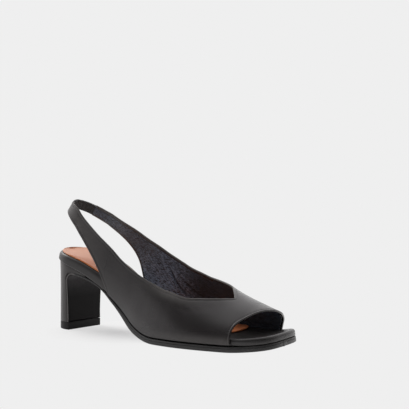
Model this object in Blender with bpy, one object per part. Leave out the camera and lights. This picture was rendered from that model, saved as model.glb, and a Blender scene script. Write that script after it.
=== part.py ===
"""Open-toe slingback pump on a half-round block heel: the right shoe of a pair.

Every size below is in millimetres and is scaled to metres as each mesh is made.
Shoe frame: +X runs to the toe, +Y to the inner (medial) side of the foot, +Z up, and the floor is Z = 0.
"""

import math

import bmesh
import bpy
import numpy as np
from mathutils import Vector

MM = 0.001
LATERAL, MEDIAL = -1, 1

# Driving dimensions
TREAD = 170.0               # station in the middle of the tread, which lies flat on the floor
SEAT_HEADING = -14.0        # degrees, slope of the heel seat
SHANK_HEADING = -37.0       # degrees, slope of the shank under the arch
TOE_SPRING = 9.0            # degrees, lift of the toe
TOE_TWIST = 0.045           # extra lift of the inner side at the tip of the toe, per millimetre of width
SEAM_GAP = 0.3              # clearance where two pieces meet
LASTING_GAP = 0.7           # clearance between the upper and the side of the footbed
UPPER_WALL = 1.8            # leather and lining together
UPPER_LIFT = 1.0            # lower edge of the upper above the underside of the footbed
FOREPART_SOLE, SHANK_SOLE = 4.4, 1.7    # thickness of the outsole
FOOTBED_ROUND = 2.2         # rounding of the footbed's upper edge
SEAT_DISH = 1.2             # hollow of the heel seat
SOCK_THICKNESS, SOCK_INSET = 1.0, 2.6
SOCK_FRONT, SOCK_ROUND = 196.0, 16.0    # front end of the sock and how far back it is rounded
HEEL_BREAST = 18.8          # front face of the heel, measured from the back of the footbed
HEEL_RADIUS = 20.0          # half-round plan of the heel at the floor
HEEL_INSET = 1.0            # step from the rim of the footbed to the heel under it
BREAST_TOP_WIDTH = 22.0     # half-width of the breast at the top
BREAST_FILLET, ARCH_HEADING = 7.5, -2.0  # turn of the sole from the breast into the arch
SOLE_MEETS = 62.0           # station where the arch of the sole meets the footbed
BLANK_FRONT = 46.0          # the heel's arm under the seat ends here
TOP_PIECE, TIP_EDGE = 6.3, 0.5          # height and edge rounding of the rubber top piece under the heel
SOLE_LIP, TOE_LIP = 2.5, 0.1            # the outsole is as wide as the upper, and nearly flush at the open toe
LATERAL_END, MEDIAL_END = -13.0, -6.5   # stations where the two strap ends meet the elastic
ELASTIC_WALL = 1.3
ELASTIC_LATERAL, ELASTIC_MEDIAL = (0.396, 0.204), (0.463, 0.237)    # girth of its lower and upper edge at each end
UPPER_STEPS, UPPER_CELLS, SHEET_SIDE = 4, 8, -1.0
SMOOTH_ANGLE = 35.0         # degrees, edges sharper than this are shown as edges

# Underside of the footbed from the heel to the toe: straight runs and arcs.
FOOTBED_RUNS = (
    # run length, heading at its end
    (33.0, -20.0),
    (58.0, SHANK_HEADING),
    (17.7, SHANK_HEADING),
    (32.3, 0.0),
    (60.0, 0.0),
    (22.0, TOE_SPRING),
    (15.0, TOE_SPRING),
)
FOOTBED_LENGTH = sum(length for length, _ in FOOTBED_RUNS)

# Half-widths of the footbed on its two sides.
OUTLINE = (
    # station, lateral, medial
    (0.0, 25.4, 25.4),
    (24.0, 26.2, 26.2),
    (50.0, 25.4, 24.2),
    (75.0, 24.4, 20.6),
    (97.0, 25.4, 20.6),
    (120.0, 29.8, 25.0),
    (143.0, 34.6, 32.8),
    (162.0, 36.0, 36.8),
    (182.0, 34.6, 37.2),
    (205.0, 30.6, 35.0),
    (225.0, 26.8, 33.4),
    (FOOTBED_LENGTH, 24.5, 32.0),
)
# Thickness of the wrapped footbed.
FOOTBED = (
    # station, thickness
    (0.0, 6.0),
    (30.0, 8.2),
    (65.0, 8.8),
    (110.0, 7.0),
    (150.0, 5.4),
    (FOOTBED_LENGTH, 5.4),
)
HEEL_ROUND, HEEL_POWER = 25.0, 2.0      # rounding of the outline at the back
TOE_ROUND, TOE_POWER = 24.0, 3.0        # rounding of the outline at the squared toe

# Sections of the last over the footbed, outer face of the upper.
HEEL_AXIS = 14.0            # station of the axis that the back of the last turns about
BACK_RUN = 38.0             # stations from that axis to the middle of the back
QUARTER_FOOT = 76.0         # behind this station the upper leaves the footbed and rises along the strap
LAST = (
    # station, tilt, top height, top half-width, shoulder half-width, shoulder share, belly, sway of the top
    (HEEL_AXIS - BACK_RUN, 33.0, 44.0, 26.2, 28.4, 0.62, 0.0, -3.0),
    (HEEL_AXIS - BACK_RUN / 2, 33.0, 44.0, 21.8, 24.8, 0.62, 0.0, -3.0),
    (HEEL_AXIS, 33.0, 45.5, 19.0, 22.2, 0.62, 0.5, -3.0),
    (60.0, 33.0, 54.0, 20.0, 25.0, 0.66, 3.0, -1.0),
    (95.0, 28.0, 60.0, 17.5, 26.5, 0.72, 5.0, 0.5),
    (125.0, 15.0, 62.0, 11.0, 25.5, 0.82, 5.0, 2.0),
    (150.0, 5.0, 57.0, 4.0, 19.0, 0.95, 3.0, 3.0),
    (172.0, 0.0, 47.2, 0.0, 16.0, 1.0, 2.0, 4.0),
    (192.0, 0.0, 37.0, 0.0, 17.0, 1.0, 2.0, 4.5),
    (212.0, 0.0, 29.0, 0.0, 18.5, 1.0, 2.0, 4.0),
    (225.0, 0.0, 22.5, 0.0, 18.5, 1.0, 2.0, 4.0),
    (FOOTBED_LENGTH, 0.0, 14.0, 0.0, 18.0, 1.0, 2.0, 3.0),
)

# Cutting pattern of the upper, from the lateral strap end round the toe to the medial strap end.
V_TIP_ROW = 15
PATTERN = (
    # lower edge station, girth, topline station, girth, corner of the lower edge
    (LATERAL_END, -0.408, LATERAL_END, -0.192, 0),
    (2.0, -0.400, 3.0, -0.130, 0),
    (16.8, -0.469, 18.0, -0.215, 0),
    (33.7, -0.586, 38.7, -0.311, 0),
    (52.1, -0.731, 58.0, -0.371, 0),
    (68.1, -0.895, 74.0, -0.429, 0),
    (76.0, -1.000, 91.0, -0.447, 1),
    (105.0, -1.000, 121.5, -0.410, 0),
    (140.0, -1.000, 144.0, -0.452, 0),
    (175.0, -1.000, 162.8, -0.482, 0),
    (198.0, -1.000, 177.5, -0.407, 0),
    (210.4, -1.000, 187.5, -0.314, 1),
    (209.7, -0.788, 192.7, -0.249, 0),
    (211.3, -0.641, 194.9, -0.219, 0),
    (217.4, -0.420, 196.1, -0.197, 0),
    (223.6, -0.037, 196.7, -0.184, 0),
    (224.6, 0.320, 194.5, -0.130, 0),
    (220.5, 0.640, 191.3, -0.054, 0),
    (216.0, 0.830, 187.8, 0.024, 0),
    (212.5, 1.000, 182.5, 0.125, 1),
    (200.0, 1.000, 168.0, 0.242, 0),
    (178.0, 1.000, 152.0, 0.294, 0),
    (142.0, 1.000, 133.0, 0.250, 0),
    (108.0, 1.000, 109.5, 0.257, 0),
    (79.5, 1.000, 84.9, 0.287, 1),
    (69.6, 0.903, 69.0, 0.268, 0),
    (51.4, 0.679, 54.3, 0.261, 0),
    (33.8, 0.546, 37.5, 0.221, 0),
    (14.3, 0.489, 16.5, 0.210, 0),
    (3.9, 0.488, 3.0, 0.225, 0),
    (MEDIAL_END, 0.475, MEDIAL_END, 0.225, 0),
)


# Curves and tables
def path_at(start, runs, station):
    """Point (x, z) and heading in radians at an arc length along straight runs and arcs."""
    x, z, heading = start
    turn = math.radians(heading)
    for length, end in runs:
        bend = (math.radians(end) - turn) / length
        along = min(station, length)
        if abs(bend) < 1e-9:
            x += along * math.cos(turn)
            z += along * math.sin(turn)
        else:
            x += (math.sin(turn + bend * along) - math.sin(turn)) / bend
            z -= (math.cos(turn + bend * along) - math.cos(turn)) / bend
        turn += bend * along
        station -= along
        if station <= 0.0:
            break
    x += max(station, 0.0) * math.cos(turn)
    z += max(station, 0.0) * math.sin(turn)
    return x, z, turn


# The tread carries the sole on the floor, and the runs then set the height of the heel seat.
SEAT_HEIGHT = FOREPART_SOLE + SEAM_GAP - path_at((0.0, 0.0, SEAT_HEADING), FOOTBED_RUNS, TREAD)[1]


def footbed_line(station):
    return path_at((0.0, SEAT_HEIGHT, SEAT_HEADING), FOOTBED_RUNS, station)


def smooth_row(rows, station):
    """Row of a table at a station, on a smooth curve through the rows."""
    table = np.asarray(rows, float)
    at = np.clip(station, table[0, 0], table[-1, 0])
    i = int(np.clip(np.searchsorted(table[:, 0], at) - 1, 0, len(table) - 2))
    span = table[i + 1, 0] - table[i, 0]
    slope = np.gradient(table, table[:, 0], axis=0)
    secant = np.diff(table, axis=0) / np.diff(table[:, 0])[:, None]
    level = np.abs(secant[:-1]) * np.abs(secant[1:]) < 1e-12
    slope[1:-1][level] = 0.0
    t = (at - table[i, 0]) / span
    return ((2 * t**3 - 3 * t**2 + 1) * table[i] + (t**3 - 2 * t**2 + t) * span * slope[i]
            + (3 * t**2 - 2 * t**3) * table[i + 1] + (t**3 - t**2) * span * slope[i + 1])


def half_width(station, side):
    """Half-width of the footbed, rounded off at the heel and the toe."""
    width = smooth_row(OUTLINE, station)[1 if side == LATERAL else 2]
    back = max(0.0, 1.0 - station / HEEL_ROUND)
    front = max(0.0, 1.0 - (FOOTBED_LENGTH - station) / TOE_ROUND)
    width *= max(0.0, 1.0 - back**HEEL_POWER) ** (1.0 / HEEL_POWER)
    return width * max(0.0, 1.0 - front**TOE_POWER) ** (1.0 / TOE_POWER)


def last_section(station, side):
    """Half-section of the last as points (sideways, height), from the feather edge to the top."""
    _, _, height, top, shoulder, share, belly, _ = smooth_row(LAST, station)
    base = half_width(max(station, HEEL_AXIS), side) + LASTING_GAP + UPPER_WALL
    corners = np.array([(base, UPPER_LIFT), (base + belly, 0.36 * height), (shoulder, share * height), (top, height)])
    t = np.linspace(0.0, 1.0, 41)[:, None]
    return ((1 - t) ** 3 * corners[0] + 3 * (1 - t) ** 2 * t * corners[1]
            + 3 * (1 - t) * t**2 * corners[2] + t**3 * corners[3])


def last_point(station, girth):
    """Point of the last: girth is -1 at the lateral feather edge, 0 at the ridge, +1 at the medial one."""
    side = LATERAL if girth < 0 else MEDIAL
    section = last_section(station, side)
    steps = np.linalg.norm(np.diff(section, axis=0), axis=1)
    share = np.concatenate([[0.0], np.cumsum(steps)]) / steps.sum()
    rise = 1.0 - abs(girth)
    out = np.interp(rise, share, section[:, 0])
    up = np.interp(rise, share, section[:, 1])
    row = smooth_row(LAST, station)
    tilt = math.radians(row[1])
    x, z, _ = footbed_line(max(station, QUARTER_FOOT))
    back = QUARTER_FOOT - min(max(station, HEEL_AXIS), QUARTER_FOOT)
    x -= back * math.cos(tilt)
    z += back * math.sin(tilt)
    sway = np.array([0.0, row[7] * up / row[2], 0.0])
    turn = max(0.0, HEEL_AXIS - station) / BACK_RUN * math.pi / 2
    forward = np.array([math.cos(tilt), 0.0, -math.sin(tilt)])
    normal = np.array([math.sin(tilt), 0.0, math.cos(tilt)])
    sideways = math.cos(turn) * np.array([0.0, side, 0.0]) - math.sin(turn) * forward
    return np.array([x, 0.0, z]) + up * normal + out * sideways + sway


def toe_lift(x, y):
    """Extra height of the toe, more on the inner side."""
    return TOE_TWIST * y * float(np.clip((x - 186.0) / 36.0, 0.0, 1.0)) ** 2


# Meshes
def new_object(name, mesh_bm, colour, roughness):
    """Named object with its own material from a bmesh in millimetres."""
    bmesh.ops.remove_doubles(mesh_bm, verts=mesh_bm.verts, dist=1e-4)
    bmesh.ops.delete(mesh_bm, geom=[edge for edge in mesh_bm.edges if not edge.link_faces], context="EDGES")
    bmesh.ops.recalc_face_normals(mesh_bm, faces=mesh_bm.faces)
    for vertex in mesh_bm.verts:
        vertex.co.z += toe_lift(vertex.co.x, vertex.co.y)
    bmesh.ops.scale(mesh_bm, vec=Vector((MM, MM, MM)), verts=mesh_bm.verts)
    mesh = bpy.data.meshes.new(name)
    mesh_bm.to_mesh(mesh)
    mesh_bm.free()
    material = bpy.data.materials.new(name)
    material.use_nodes = True
    shader = material.node_tree.nodes["Principled BSDF"]
    shader.inputs["Base Color"].default_value = (*colour, 1.0)
    shader.inputs["Roughness"].default_value = roughness
    mesh.materials.append(material)
    mesh.shade_smooth()
    mesh.set_sharp_from_angle(angle=math.radians(SMOOTH_ANGLE))
    made = bpy.data.objects.new(name, mesh)
    bpy.context.scene.collection.objects.link(made)
    return made


def placed_grid(rows, columns, place):
    """Grid of cells whose vertices are moved to place(row share, column share)."""
    mesh_bm = bmesh.new()
    bmesh.ops.create_grid(mesh_bm, x_segments=rows, y_segments=columns, size=0.5)
    for vertex in mesh_bm.verts:
        vertex.co = Vector(place(vertex.co.x + 0.5, vertex.co.y + 0.5))
    return mesh_bm


def run_modifier(target, kind, **settings):
    """Add a modifier with the given settings and apply it."""
    modifier = target.modifiers.new(kind.title(), kind)
    for key, value in settings.items():
        setattr(modifier, key, value)
    with bpy.context.temp_override(object=target, active_object=target, selected_objects=[target]):
        bpy.ops.object.modifier_apply(modifier=modifier.name)


# Layers of the bottom: footbed, sock and outsole are slabs with a rounded outline
def footbed_thickness(station):
    return smooth_row(FOOTBED, station)[1]


def seat_dish(station):
    return SEAT_DISH * float(np.clip((150.0 - station) / 60.0, 0.0, 1.0))


def inset_outline(stations, width, side, inset):
    """Plan points (station, y) of one side of an outline, moved inwards by the inset."""
    line = np.array([(s, side * width(s, side)) for s in stations])
    along = np.gradient(line, axis=0)
    along[0] = (0.0, side)
    along[-1] = (0.0, -side)
    along /= np.linalg.norm(along, axis=1)[:, None]
    inward = np.stack([side * along[:, 1], -side * along[:, 0]], axis=1)
    return line + inset * inward


def eased(count, first, last):
    """Stations that crowd towards both ends."""
    return [first + (last - first) * (1 - math.cos(math.pi * i / count)) / 2 for i in range(count + 1)]


def slab(name, stations, width, ring, line, height, colour, roughness):
    """Closed slab: ring rows are (side, inset, across, level), level 0 for its underside and 1 for its top."""
    plans = [inset_outline(stations, width, side, inset) for side, inset, _, _ in ring]

    def place(row_share, ring_share):
        i = round(row_share * (len(stations) - 1))
        j = round(ring_share * len(ring)) % len(ring)
        _, _, across, level = ring[j]
        station, y = plans[j][i]
        x, z, heading = line(station)
        up = height(station, across, level)
        return x - up * math.sin(heading), y * abs(across), z + up * math.cos(heading)

    mesh_bm = placed_grid(len(stations) - 1, len(ring), place)
    bmesh.ops.remove_doubles(mesh_bm, verts=mesh_bm.verts, dist=1e-4)
    bmesh.ops.holes_fill(mesh_bm, edges=mesh_bm.edges, sides=0)
    return new_object(name, mesh_bm, colour, roughness)


def rounded_ring(bottom_round, top_round, levels, inset=0.0):
    """Ring of a slab section from the middle of its underside, round the lateral side and back."""
    low, high = levels
    half = [(bottom_round, 0.0, 0.0), (bottom_round, 1.0, 0.0), (0.0, 1.0, low), (0.0, 1.0, high),
            (0.3 * top_round, 1.0, 0.3 * high + 0.7), (top_round, 1.0, 1.0), (top_round, 0.55, 1.0)]
    lateral = [(LATERAL, inset + edge, across, level) for edge, across, level in half]
    medial = [(MEDIAL, inset + edge, across, level) for edge, across, level in half[:0:-1]]
    return lateral + [(MEDIAL, inset + top_round, 0.0, 1.0)] + medial


def footbed_height(station, across, level):
    dish = seat_dish(station) * (1.0 - across**2)
    return level * (footbed_thickness(station) - dish)


def sock_height(station, across, level):
    dish = seat_dish(station) * (1.0 - across**2)
    return footbed_thickness(station) - dish + SEAM_GAP + level * SOCK_THICKNESS


def sock_width(station, side):
    """Half-width of the sock: the footbed outline with a rounded front end, before the inset of its ring."""
    front = max(0.0, 1.0 - (SOCK_FRONT - station) / SOCK_ROUND)
    return half_width(station, side) * math.sqrt(max(0.0, 1.0 - front**2))


def shank_point(station, drop):
    x, z, heading = footbed_line(station)
    return x + drop * math.sin(heading), z - drop * math.cos(heading), heading


def breast_path():
    """Start and runs of the sole where it turns down the heel breast, ending on the footbed line."""
    start = (HEEL_BREAST + SEAM_GAP, TOP_PIECE + SEAM_GAP, 90.0)
    fillet = (BREAST_FILLET * math.radians(90.0 - ARCH_HEADING), ARCH_HEADING)
    meet_x, meet_z, slope = shank_point(SOLE_MEETS, SEAM_GAP)
    x, z, turn = path_at(start, (fillet,), fillet[0])
    radius = (meet_x - x) / (math.sin(turn) - math.sin(slope))
    arch = (radius * (turn - slope), math.degrees(slope))
    rise = meet_z + radius * (math.cos(turn) - math.cos(slope)) - z
    return start, ((rise, 90.0), fillet, arch)


BREAST_START, BREAST_RUNS = breast_path()
FLAP_LENGTH = sum(length for length, _ in BREAST_RUNS)
SOLE_LENGTH = FLAP_LENGTH + FOOTBED_LENGTH + TOE_LIP - SOLE_MEETS


def sole_line(station):
    """Upper face of the outsole, from the foot of the heel breast to the toe."""
    if station < FLAP_LENGTH:
        return path_at(BREAST_START, BREAST_RUNS, station)
    return shank_point(SOLE_MEETS + station - FLAP_LENGTH, SEAM_GAP)


def sole_thickness(station):
    blend = np.clip((station - FLAP_LENGTH - 8.0) / 45.0, 0.0, 1.0)
    return SHANK_SOLE + (FOREPART_SOLE - SHANK_SOLE) * blend * blend * (3.0 - 2.0 * blend)


def sole_width(station, side):
    """Half-width of the outsole: the heel breast, then the footbed with the upper around it."""
    rise = BREAST_RUNS[0][0]
    share = np.clip(station / rise, 0.0, 1.0)
    breast = HEEL_RADIUS + (BREAST_TOP_WIDTH - HEEL_RADIUS) * share**2
    x, _, _ = sole_line(station)
    bed = SOLE_MEETS + station - FLAP_LENGTH
    if station < FLAP_LENGTH:
        bed = np.interp(x, [footbed_line(s)[0] for s in range(0, 90, 3)], list(range(0, 90, 3)))
    seat = half_width(bed, side) - HEEL_INSET
    lip = np.interp(bed, (209.0, 221.0), (SOLE_LIP, TOE_LIP))
    welt = half_width(bed, side) * (1.0 + lip / 30.0)
    spread = np.clip((bed - 62.0) / 22.0, 0.0, 1.0)
    wide = seat + (welt - seat) * spread * spread * (3.0 - 2.0 * spread)
    join = np.clip((station - rise) / 30.0, 0.0, 1.0)
    return breast + (wide - breast) * join * join * (3.0 - 2.0 * join)


def sole_stations():
    """Stations of the outsole, close together in the turn over the breast and at the toe."""
    rise, fillet = BREAST_RUNS[0][0], BREAST_RUNS[1][0]
    breast = [0.0, rise / 2]
    turn = [rise + fillet * i / 7 for i in range(7)]
    arch = [rise + fillet + (FLAP_LENGTH - rise - fillet) * i / 6 for i in range(6)]
    forepart = [FLAP_LENGTH + (SOLE_LENGTH - FLAP_LENGTH) * math.sin(math.pi / 2 * i / 30) for i in range(31)]
    return breast + turn + arch + forepart


def sole_height(station, across, level):
    return -level * sole_thickness(station)


# Heel
def heel_blank(name, colour, roughness):
    """Half-round column that flares to the seat, with a solid front that the breast cutter takes away."""
    rows, rise = 22, 6
    shares = [1.0 - math.cos(math.pi / 2 * i / rows) for i in range(rows + 1)]
    ring = [(LATERAL, k / rise) for k in range(rise + 1)] + [(MEDIAL, k / rise) for k in range(rise, -1, -1)]

    def place(row_share, ring_share):
        side, level = ring[round(ring_share * len(ring)) % len(ring)]
        forward = shares[round(row_share * rows)]
        behind = (BLANK_FRONT - HEEL_INSET) * forward
        top_x, top_z, _ = shank_point(HEEL_INSET + behind, SEAM_GAP)
        top_y = half_width(behind, side) - HEEL_INSET * min(1.0, behind / 6.0)
        low_x = BLANK_FRONT * forward
        low_y = math.sqrt(max(0.0, HEEL_RADIUS**2 - max(0.0, HEEL_RADIUS - low_x) ** 2))
        low_z = TOP_PIECE + SEAM_GAP
        flare = level**2.2
        x = low_x + (top_x - low_x) * flare
        y = low_y + (max(0.0, top_y) - low_y) * flare
        return x, side * y, low_z + (top_z - low_z) * level

    mesh_bm = placed_grid(rows, len(ring), place)
    bmesh.ops.remove_doubles(mesh_bm, verts=mesh_bm.verts, dist=1e-4)
    bmesh.ops.holes_fill(mesh_bm, edges=mesh_bm.edges, sides=0)
    return new_object(name, mesh_bm, colour, roughness)


def breast_cutter(name):
    """Prism under the arch and in front of the heel breast."""
    line = []
    for station in sole_stations()[:16]:
        x, z, heading = sole_line(station)
        line.append((x - SEAM_GAP * math.sin(heading), z + SEAM_GAP * math.cos(heading)))
    line[0] = (line[0][0], -5.0)
    end_x, end_z = line[-1]
    line.append((end_x + 30.0, end_z + 30.0 * math.tan(math.radians(SHANK_HEADING))))
    line.append((end_x + 30.0, -5.0))
    mesh_bm = bmesh.new()
    corners = [mesh_bm.verts.new((x, -40.0, z)) for x, z in line]
    face = mesh_bm.faces.new(corners)
    made = bmesh.ops.extrude_face_region(mesh_bm, geom=[face])
    moved = [item for item in made["geom"] if isinstance(item, bmesh.types.BMVert)]
    bmesh.ops.translate(mesh_bm, vec=Vector((0.0, 80.0, 0.0)), verts=moved)
    cutter = new_object(name, mesh_bm, (0.5, 0.5, 0.5), 0.5)
    cutter.hide_render = True
    cutter.display_type = "WIRE"
    return cutter


def top_piece(name, colour, roughness):
    """Half-round rubber slab under the heel and the foot of the sole flap."""
    rows = 18
    front = HEEL_BREAST + SEAM_GAP + SHANK_SOLE
    ring = [(LATERAL, TIP_EDGE, 0.0), (LATERAL, 0.0, TIP_EDGE), (LATERAL, 0.0, TOP_PIECE),
            (MEDIAL, 0.0, TOP_PIECE), (MEDIAL, 0.0, TIP_EDGE), (MEDIAL, TIP_EDGE, 0.0)]

    def place(row_share, ring_share):
        side, inset, z = ring[round(ring_share * len(ring)) % len(ring)]
        turn = math.pi / 2 * min(1.0, row_share * rows / (rows - 1))
        radius = HEEL_RADIUS - inset
        x = HEEL_RADIUS - radius * math.cos(turn)
        if row_share > 1.0 - 0.5 / rows:
            x = front - inset * 0.6
        return x, side * radius * math.sin(turn), z

    mesh_bm = placed_grid(rows, len(ring), place)
    bmesh.ops.remove_doubles(mesh_bm, verts=mesh_bm.verts, dist=1e-4)
    bmesh.ops.holes_fill(mesh_bm, edges=mesh_bm.edges, sides=0)
    return new_object(name, mesh_bm, colour, roughness)


# Upper
def edge_value(rows, columns, at):
    """Point on a smooth curve through some rows of the pattern at a row number."""
    numbered = [(i, *(row[c] for c in columns)) for i, row in rows]
    return smooth_row(numbered, at)[1:]


def pattern_point(at, rise):
    """Station and girth on the pattern: at counts its rows, rise is 0 on the lower edge and 1 on the topline."""
    rows = list(enumerate(PATTERN))
    ends = [0] + [i for i, row in rows if row[4]] + [len(PATTERN) - 1]
    first = max(i for i in ends if i <= min(at, len(PATTERN) - 1.001))
    last = min(i for i in ends if i > first)
    lower = edge_value(rows[first:last + 1], (0, 1), at)
    top = rows[:V_TIP_ROW + 1] if at <= V_TIP_ROW else rows[V_TIP_ROW:]
    upper = edge_value(top, (2, 3), at)
    return lower + (upper - lower) * rise


def build_upper(name, colour, roughness):
    cells = (len(PATTERN) - 1) * UPPER_STEPS

    def place(along, rise):
        at = round(along * cells) / UPPER_STEPS
        station, girth = pattern_point(at, rise)
        return last_point(station, float(np.clip(girth, -1.0, 1.0)))

    upper = new_object(name, placed_grid(cells, UPPER_CELLS, place), colour, roughness)
    run_modifier(upper, "SOLIDIFY", thickness=UPPER_WALL * MM, offset=SHEET_SIDE, use_even_offset=True)
    return upper


def build_elastic(name, colour, roughness):
    back = HEEL_AXIS - BACK_RUN

    def place(along, rise):
        turn = 2.0 * along - 1.0
        end = MEDIAL_END if turn > 0 else LATERAL_END
        station = back + abs(turn) * (end - SEAM_GAP - back)
        low, high = np.array(ELASTIC_LATERAL) * (1.0 - along) + np.array(ELASTIC_MEDIAL) * along
        girth = low + (high - low) * rise
        return last_point(station, girth if turn > 0 else -girth)

    elastic = new_object(name, placed_grid(16, 3, place), colour, roughness)
    run_modifier(elastic, "SOLIDIFY", thickness=ELASTIC_WALL * MM, offset=SHEET_SIDE, use_even_offset=True)
    return elastic


def main():
    for old in list(bpy.data.objects):
        bpy.data.objects.remove(old, do_unlink=True)
    black, tan = (0.012, 0.012, 0.013), (0.45, 0.27, 0.17)
    bed_stations = eased(44, 0.0, FOOTBED_LENGTH)
    made = [slab("footbed", bed_stations, half_width, rounded_ring(1.0, FOOTBED_ROUND, (0.15, 0.55)),
                 footbed_line, footbed_height, black, 0.4)]
    made.append(slab("sock", eased(32, 0.0, SOCK_FRONT), sock_width, rounded_ring(0.2, 0.4, (0.3, 0.6), SOCK_INSET),
                     footbed_line, sock_height, tan, 0.55))
    made.append(slab("outsole", sole_stations(), sole_width, rounded_ring(0.3, 0.8, (0.1, 0.8)),
                     sole_line, sole_height, black, 0.5))
    heel = heel_blank("heel", black, 0.35)
    cutter = breast_cutter("breast_cutter")
    run_modifier(heel, "BOOLEAN", operation="DIFFERENCE", solver="EXACT", object=cutter)
    bpy.data.objects.remove(cutter, do_unlink=True)
    made.append(heel)
    made.append(top_piece("heel_tip", black, 0.7))
    made.append(build_upper("upper", black, 0.35))
    made.append(build_elastic("elastic", black, 0.6))
    corners = [vertex.co for piece in made for vertex in piece.data.vertices]
    low = Vector([min(c[axis] for c in corners) for axis in range(3)])
    high = Vector([max(c[axis] for c in corners) for axis in range(3)])
    middle = Vector(((low.x + high.x) / 2, (low.y + high.y) / 2, low.z))
    for piece in made:
        for vertex in piece.data.vertices:
            vertex.co -= middle
    return made


main()
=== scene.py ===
# %% [markdown]
# # The look of an open-toe slingback pump
# The solids of the shoe are a plain, fairly coarse frame. This lesson dresses them: each layer is drawn
# again on the same last with finer steps, rounded edges, folded toplines, stitches and creases, and gets a
# leather of its own. The shoe stands on a pale sweep under soft light, seen from its outer side.

# %% Load the solids as a fixed frame
import math

import bmesh
import bpy
import numpy as np
from mathutils import Matrix, Vector


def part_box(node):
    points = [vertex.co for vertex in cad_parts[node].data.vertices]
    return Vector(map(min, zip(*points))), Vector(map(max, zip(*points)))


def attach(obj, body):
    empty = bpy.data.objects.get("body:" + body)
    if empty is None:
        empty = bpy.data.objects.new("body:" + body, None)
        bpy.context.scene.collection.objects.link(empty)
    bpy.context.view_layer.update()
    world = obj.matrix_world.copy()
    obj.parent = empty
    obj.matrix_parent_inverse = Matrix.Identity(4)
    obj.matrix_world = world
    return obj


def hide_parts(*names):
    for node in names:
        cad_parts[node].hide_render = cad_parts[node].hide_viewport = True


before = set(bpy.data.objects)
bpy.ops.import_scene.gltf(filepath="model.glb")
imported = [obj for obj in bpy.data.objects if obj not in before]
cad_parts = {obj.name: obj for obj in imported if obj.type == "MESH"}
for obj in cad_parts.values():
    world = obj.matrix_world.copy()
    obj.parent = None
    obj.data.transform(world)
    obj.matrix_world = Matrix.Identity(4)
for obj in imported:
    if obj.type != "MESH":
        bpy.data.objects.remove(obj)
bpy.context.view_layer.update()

MM = 0.001
LATERAL, MEDIAL = -1, 1
print("solids:", ", ".join(sorted(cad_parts)))

# %% [markdown]
# The shoe is drawn in millimetres in the frame of its last: X from the back of the heel to the toe, Y to
# the inner side of the foot and Z up from the floor. The back of the heel tip and its middle tell where
# that frame lies.

# %% Find the frame of the last
tip_low, tip_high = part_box("heel_tip")
LAST_ORIGIN = Vector((tip_low.x, (tip_low.y + tip_high.y) / 2, 0.0))
print("origin of the last, mm:", [round(value / MM, 2) for value in LAST_ORIGIN])

# %% [markdown]
# ## The last in numbers
# A pump is built over a last, so its outline, its sections and the cutting pattern of the upper drive
# everything. The tables hold few rows, and smooth curves run through them, as a pattern cutter would draw
# them with a spline.

# %% Dimensions and tables
SEAM_GAP, LASTING_GAP, UPPER_WALL, UPPER_LIFT = 0.3, 0.7, 1.8, 1.0
FOREPART_SOLE, SHANK_SOLE, TREAD = 4.4, 1.7, 170.0
SEAT_HEADING, SHANK_HEADING, TOE_SPRING, TOE_TWIST = -14.0, -37.0, 9.0, 0.045
HEEL_AXIS, BACK_RUN, QUARTER_FOOT = 14.0, 38.0, 76.0
LATERAL_END, MEDIAL_END = -13.0, -6.5
FOOTBED_RUNS = (
    # run length, heading at its end
    (33.0, -20.0), (58.0, SHANK_HEADING), (17.7, SHANK_HEADING), (32.3, 0.0), (60.0, 0.0),
    (22.0, TOE_SPRING), (15.0, TOE_SPRING),
)
FOOTBED_LENGTH = sum(length for length, _ in FOOTBED_RUNS)
OUTLINE = (
    # station, lateral half-width, medial half-width
    (0.0, 25.4, 25.4), (24.0, 26.2, 26.2), (50.0, 25.4, 24.2), (75.0, 24.4, 20.6), (97.0, 25.4, 20.6),
    (120.0, 29.8, 25.0), (143.0, 34.6, 32.8), (162.0, 36.0, 36.8), (182.0, 34.6, 37.2), (205.0, 30.6, 35.0),
    (225.0, 26.8, 33.4), (FOOTBED_LENGTH, 24.5, 32.0),
)
FOOTBED = (
    # station, thickness
    (0.0, 6.0), (30.0, 8.2), (65.0, 8.8), (110.0, 7.0), (150.0, 5.4), (FOOTBED_LENGTH, 5.4),
)
LAST = (
    # station, tilt, top height, top half-width, shoulder half-width, shoulder share, belly, sway of the top
    (HEEL_AXIS - BACK_RUN, 33.0, 44.0, 26.2, 28.4, 0.62, 0.0, -3.0),
    (HEEL_AXIS - BACK_RUN / 2, 33.0, 44.0, 21.8, 24.8, 0.62, 0.0, -3.0),
    (HEEL_AXIS, 33.0, 45.5, 19.0, 22.2, 0.62, 0.5, -3.0),
    (60.0, 33.0, 54.0, 20.0, 25.0, 0.66, 3.0, -1.0),
    (95.0, 28.0, 60.0, 17.5, 26.5, 0.72, 5.0, 0.5),
    (125.0, 15.0, 62.0, 11.0, 25.5, 0.82, 5.0, 2.0),
    (150.0, 5.0, 57.0, 4.0, 19.0, 0.95, 3.0, 3.0),
    (172.0, 0.0, 47.2, 0.0, 16.0, 1.0, 2.0, 4.0),
    (192.0, 0.0, 37.0, 0.0, 17.0, 1.0, 2.0, 4.5),
    (212.0, 0.0, 29.0, 0.0, 18.5, 1.0, 2.0, 4.0),
    (225.0, 0.0, 22.5, 0.0, 18.5, 1.0, 2.0, 4.0),
    (FOOTBED_LENGTH, 0.0, 14.0, 0.0, 18.0, 1.0, 2.0, 3.0),
)
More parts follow.
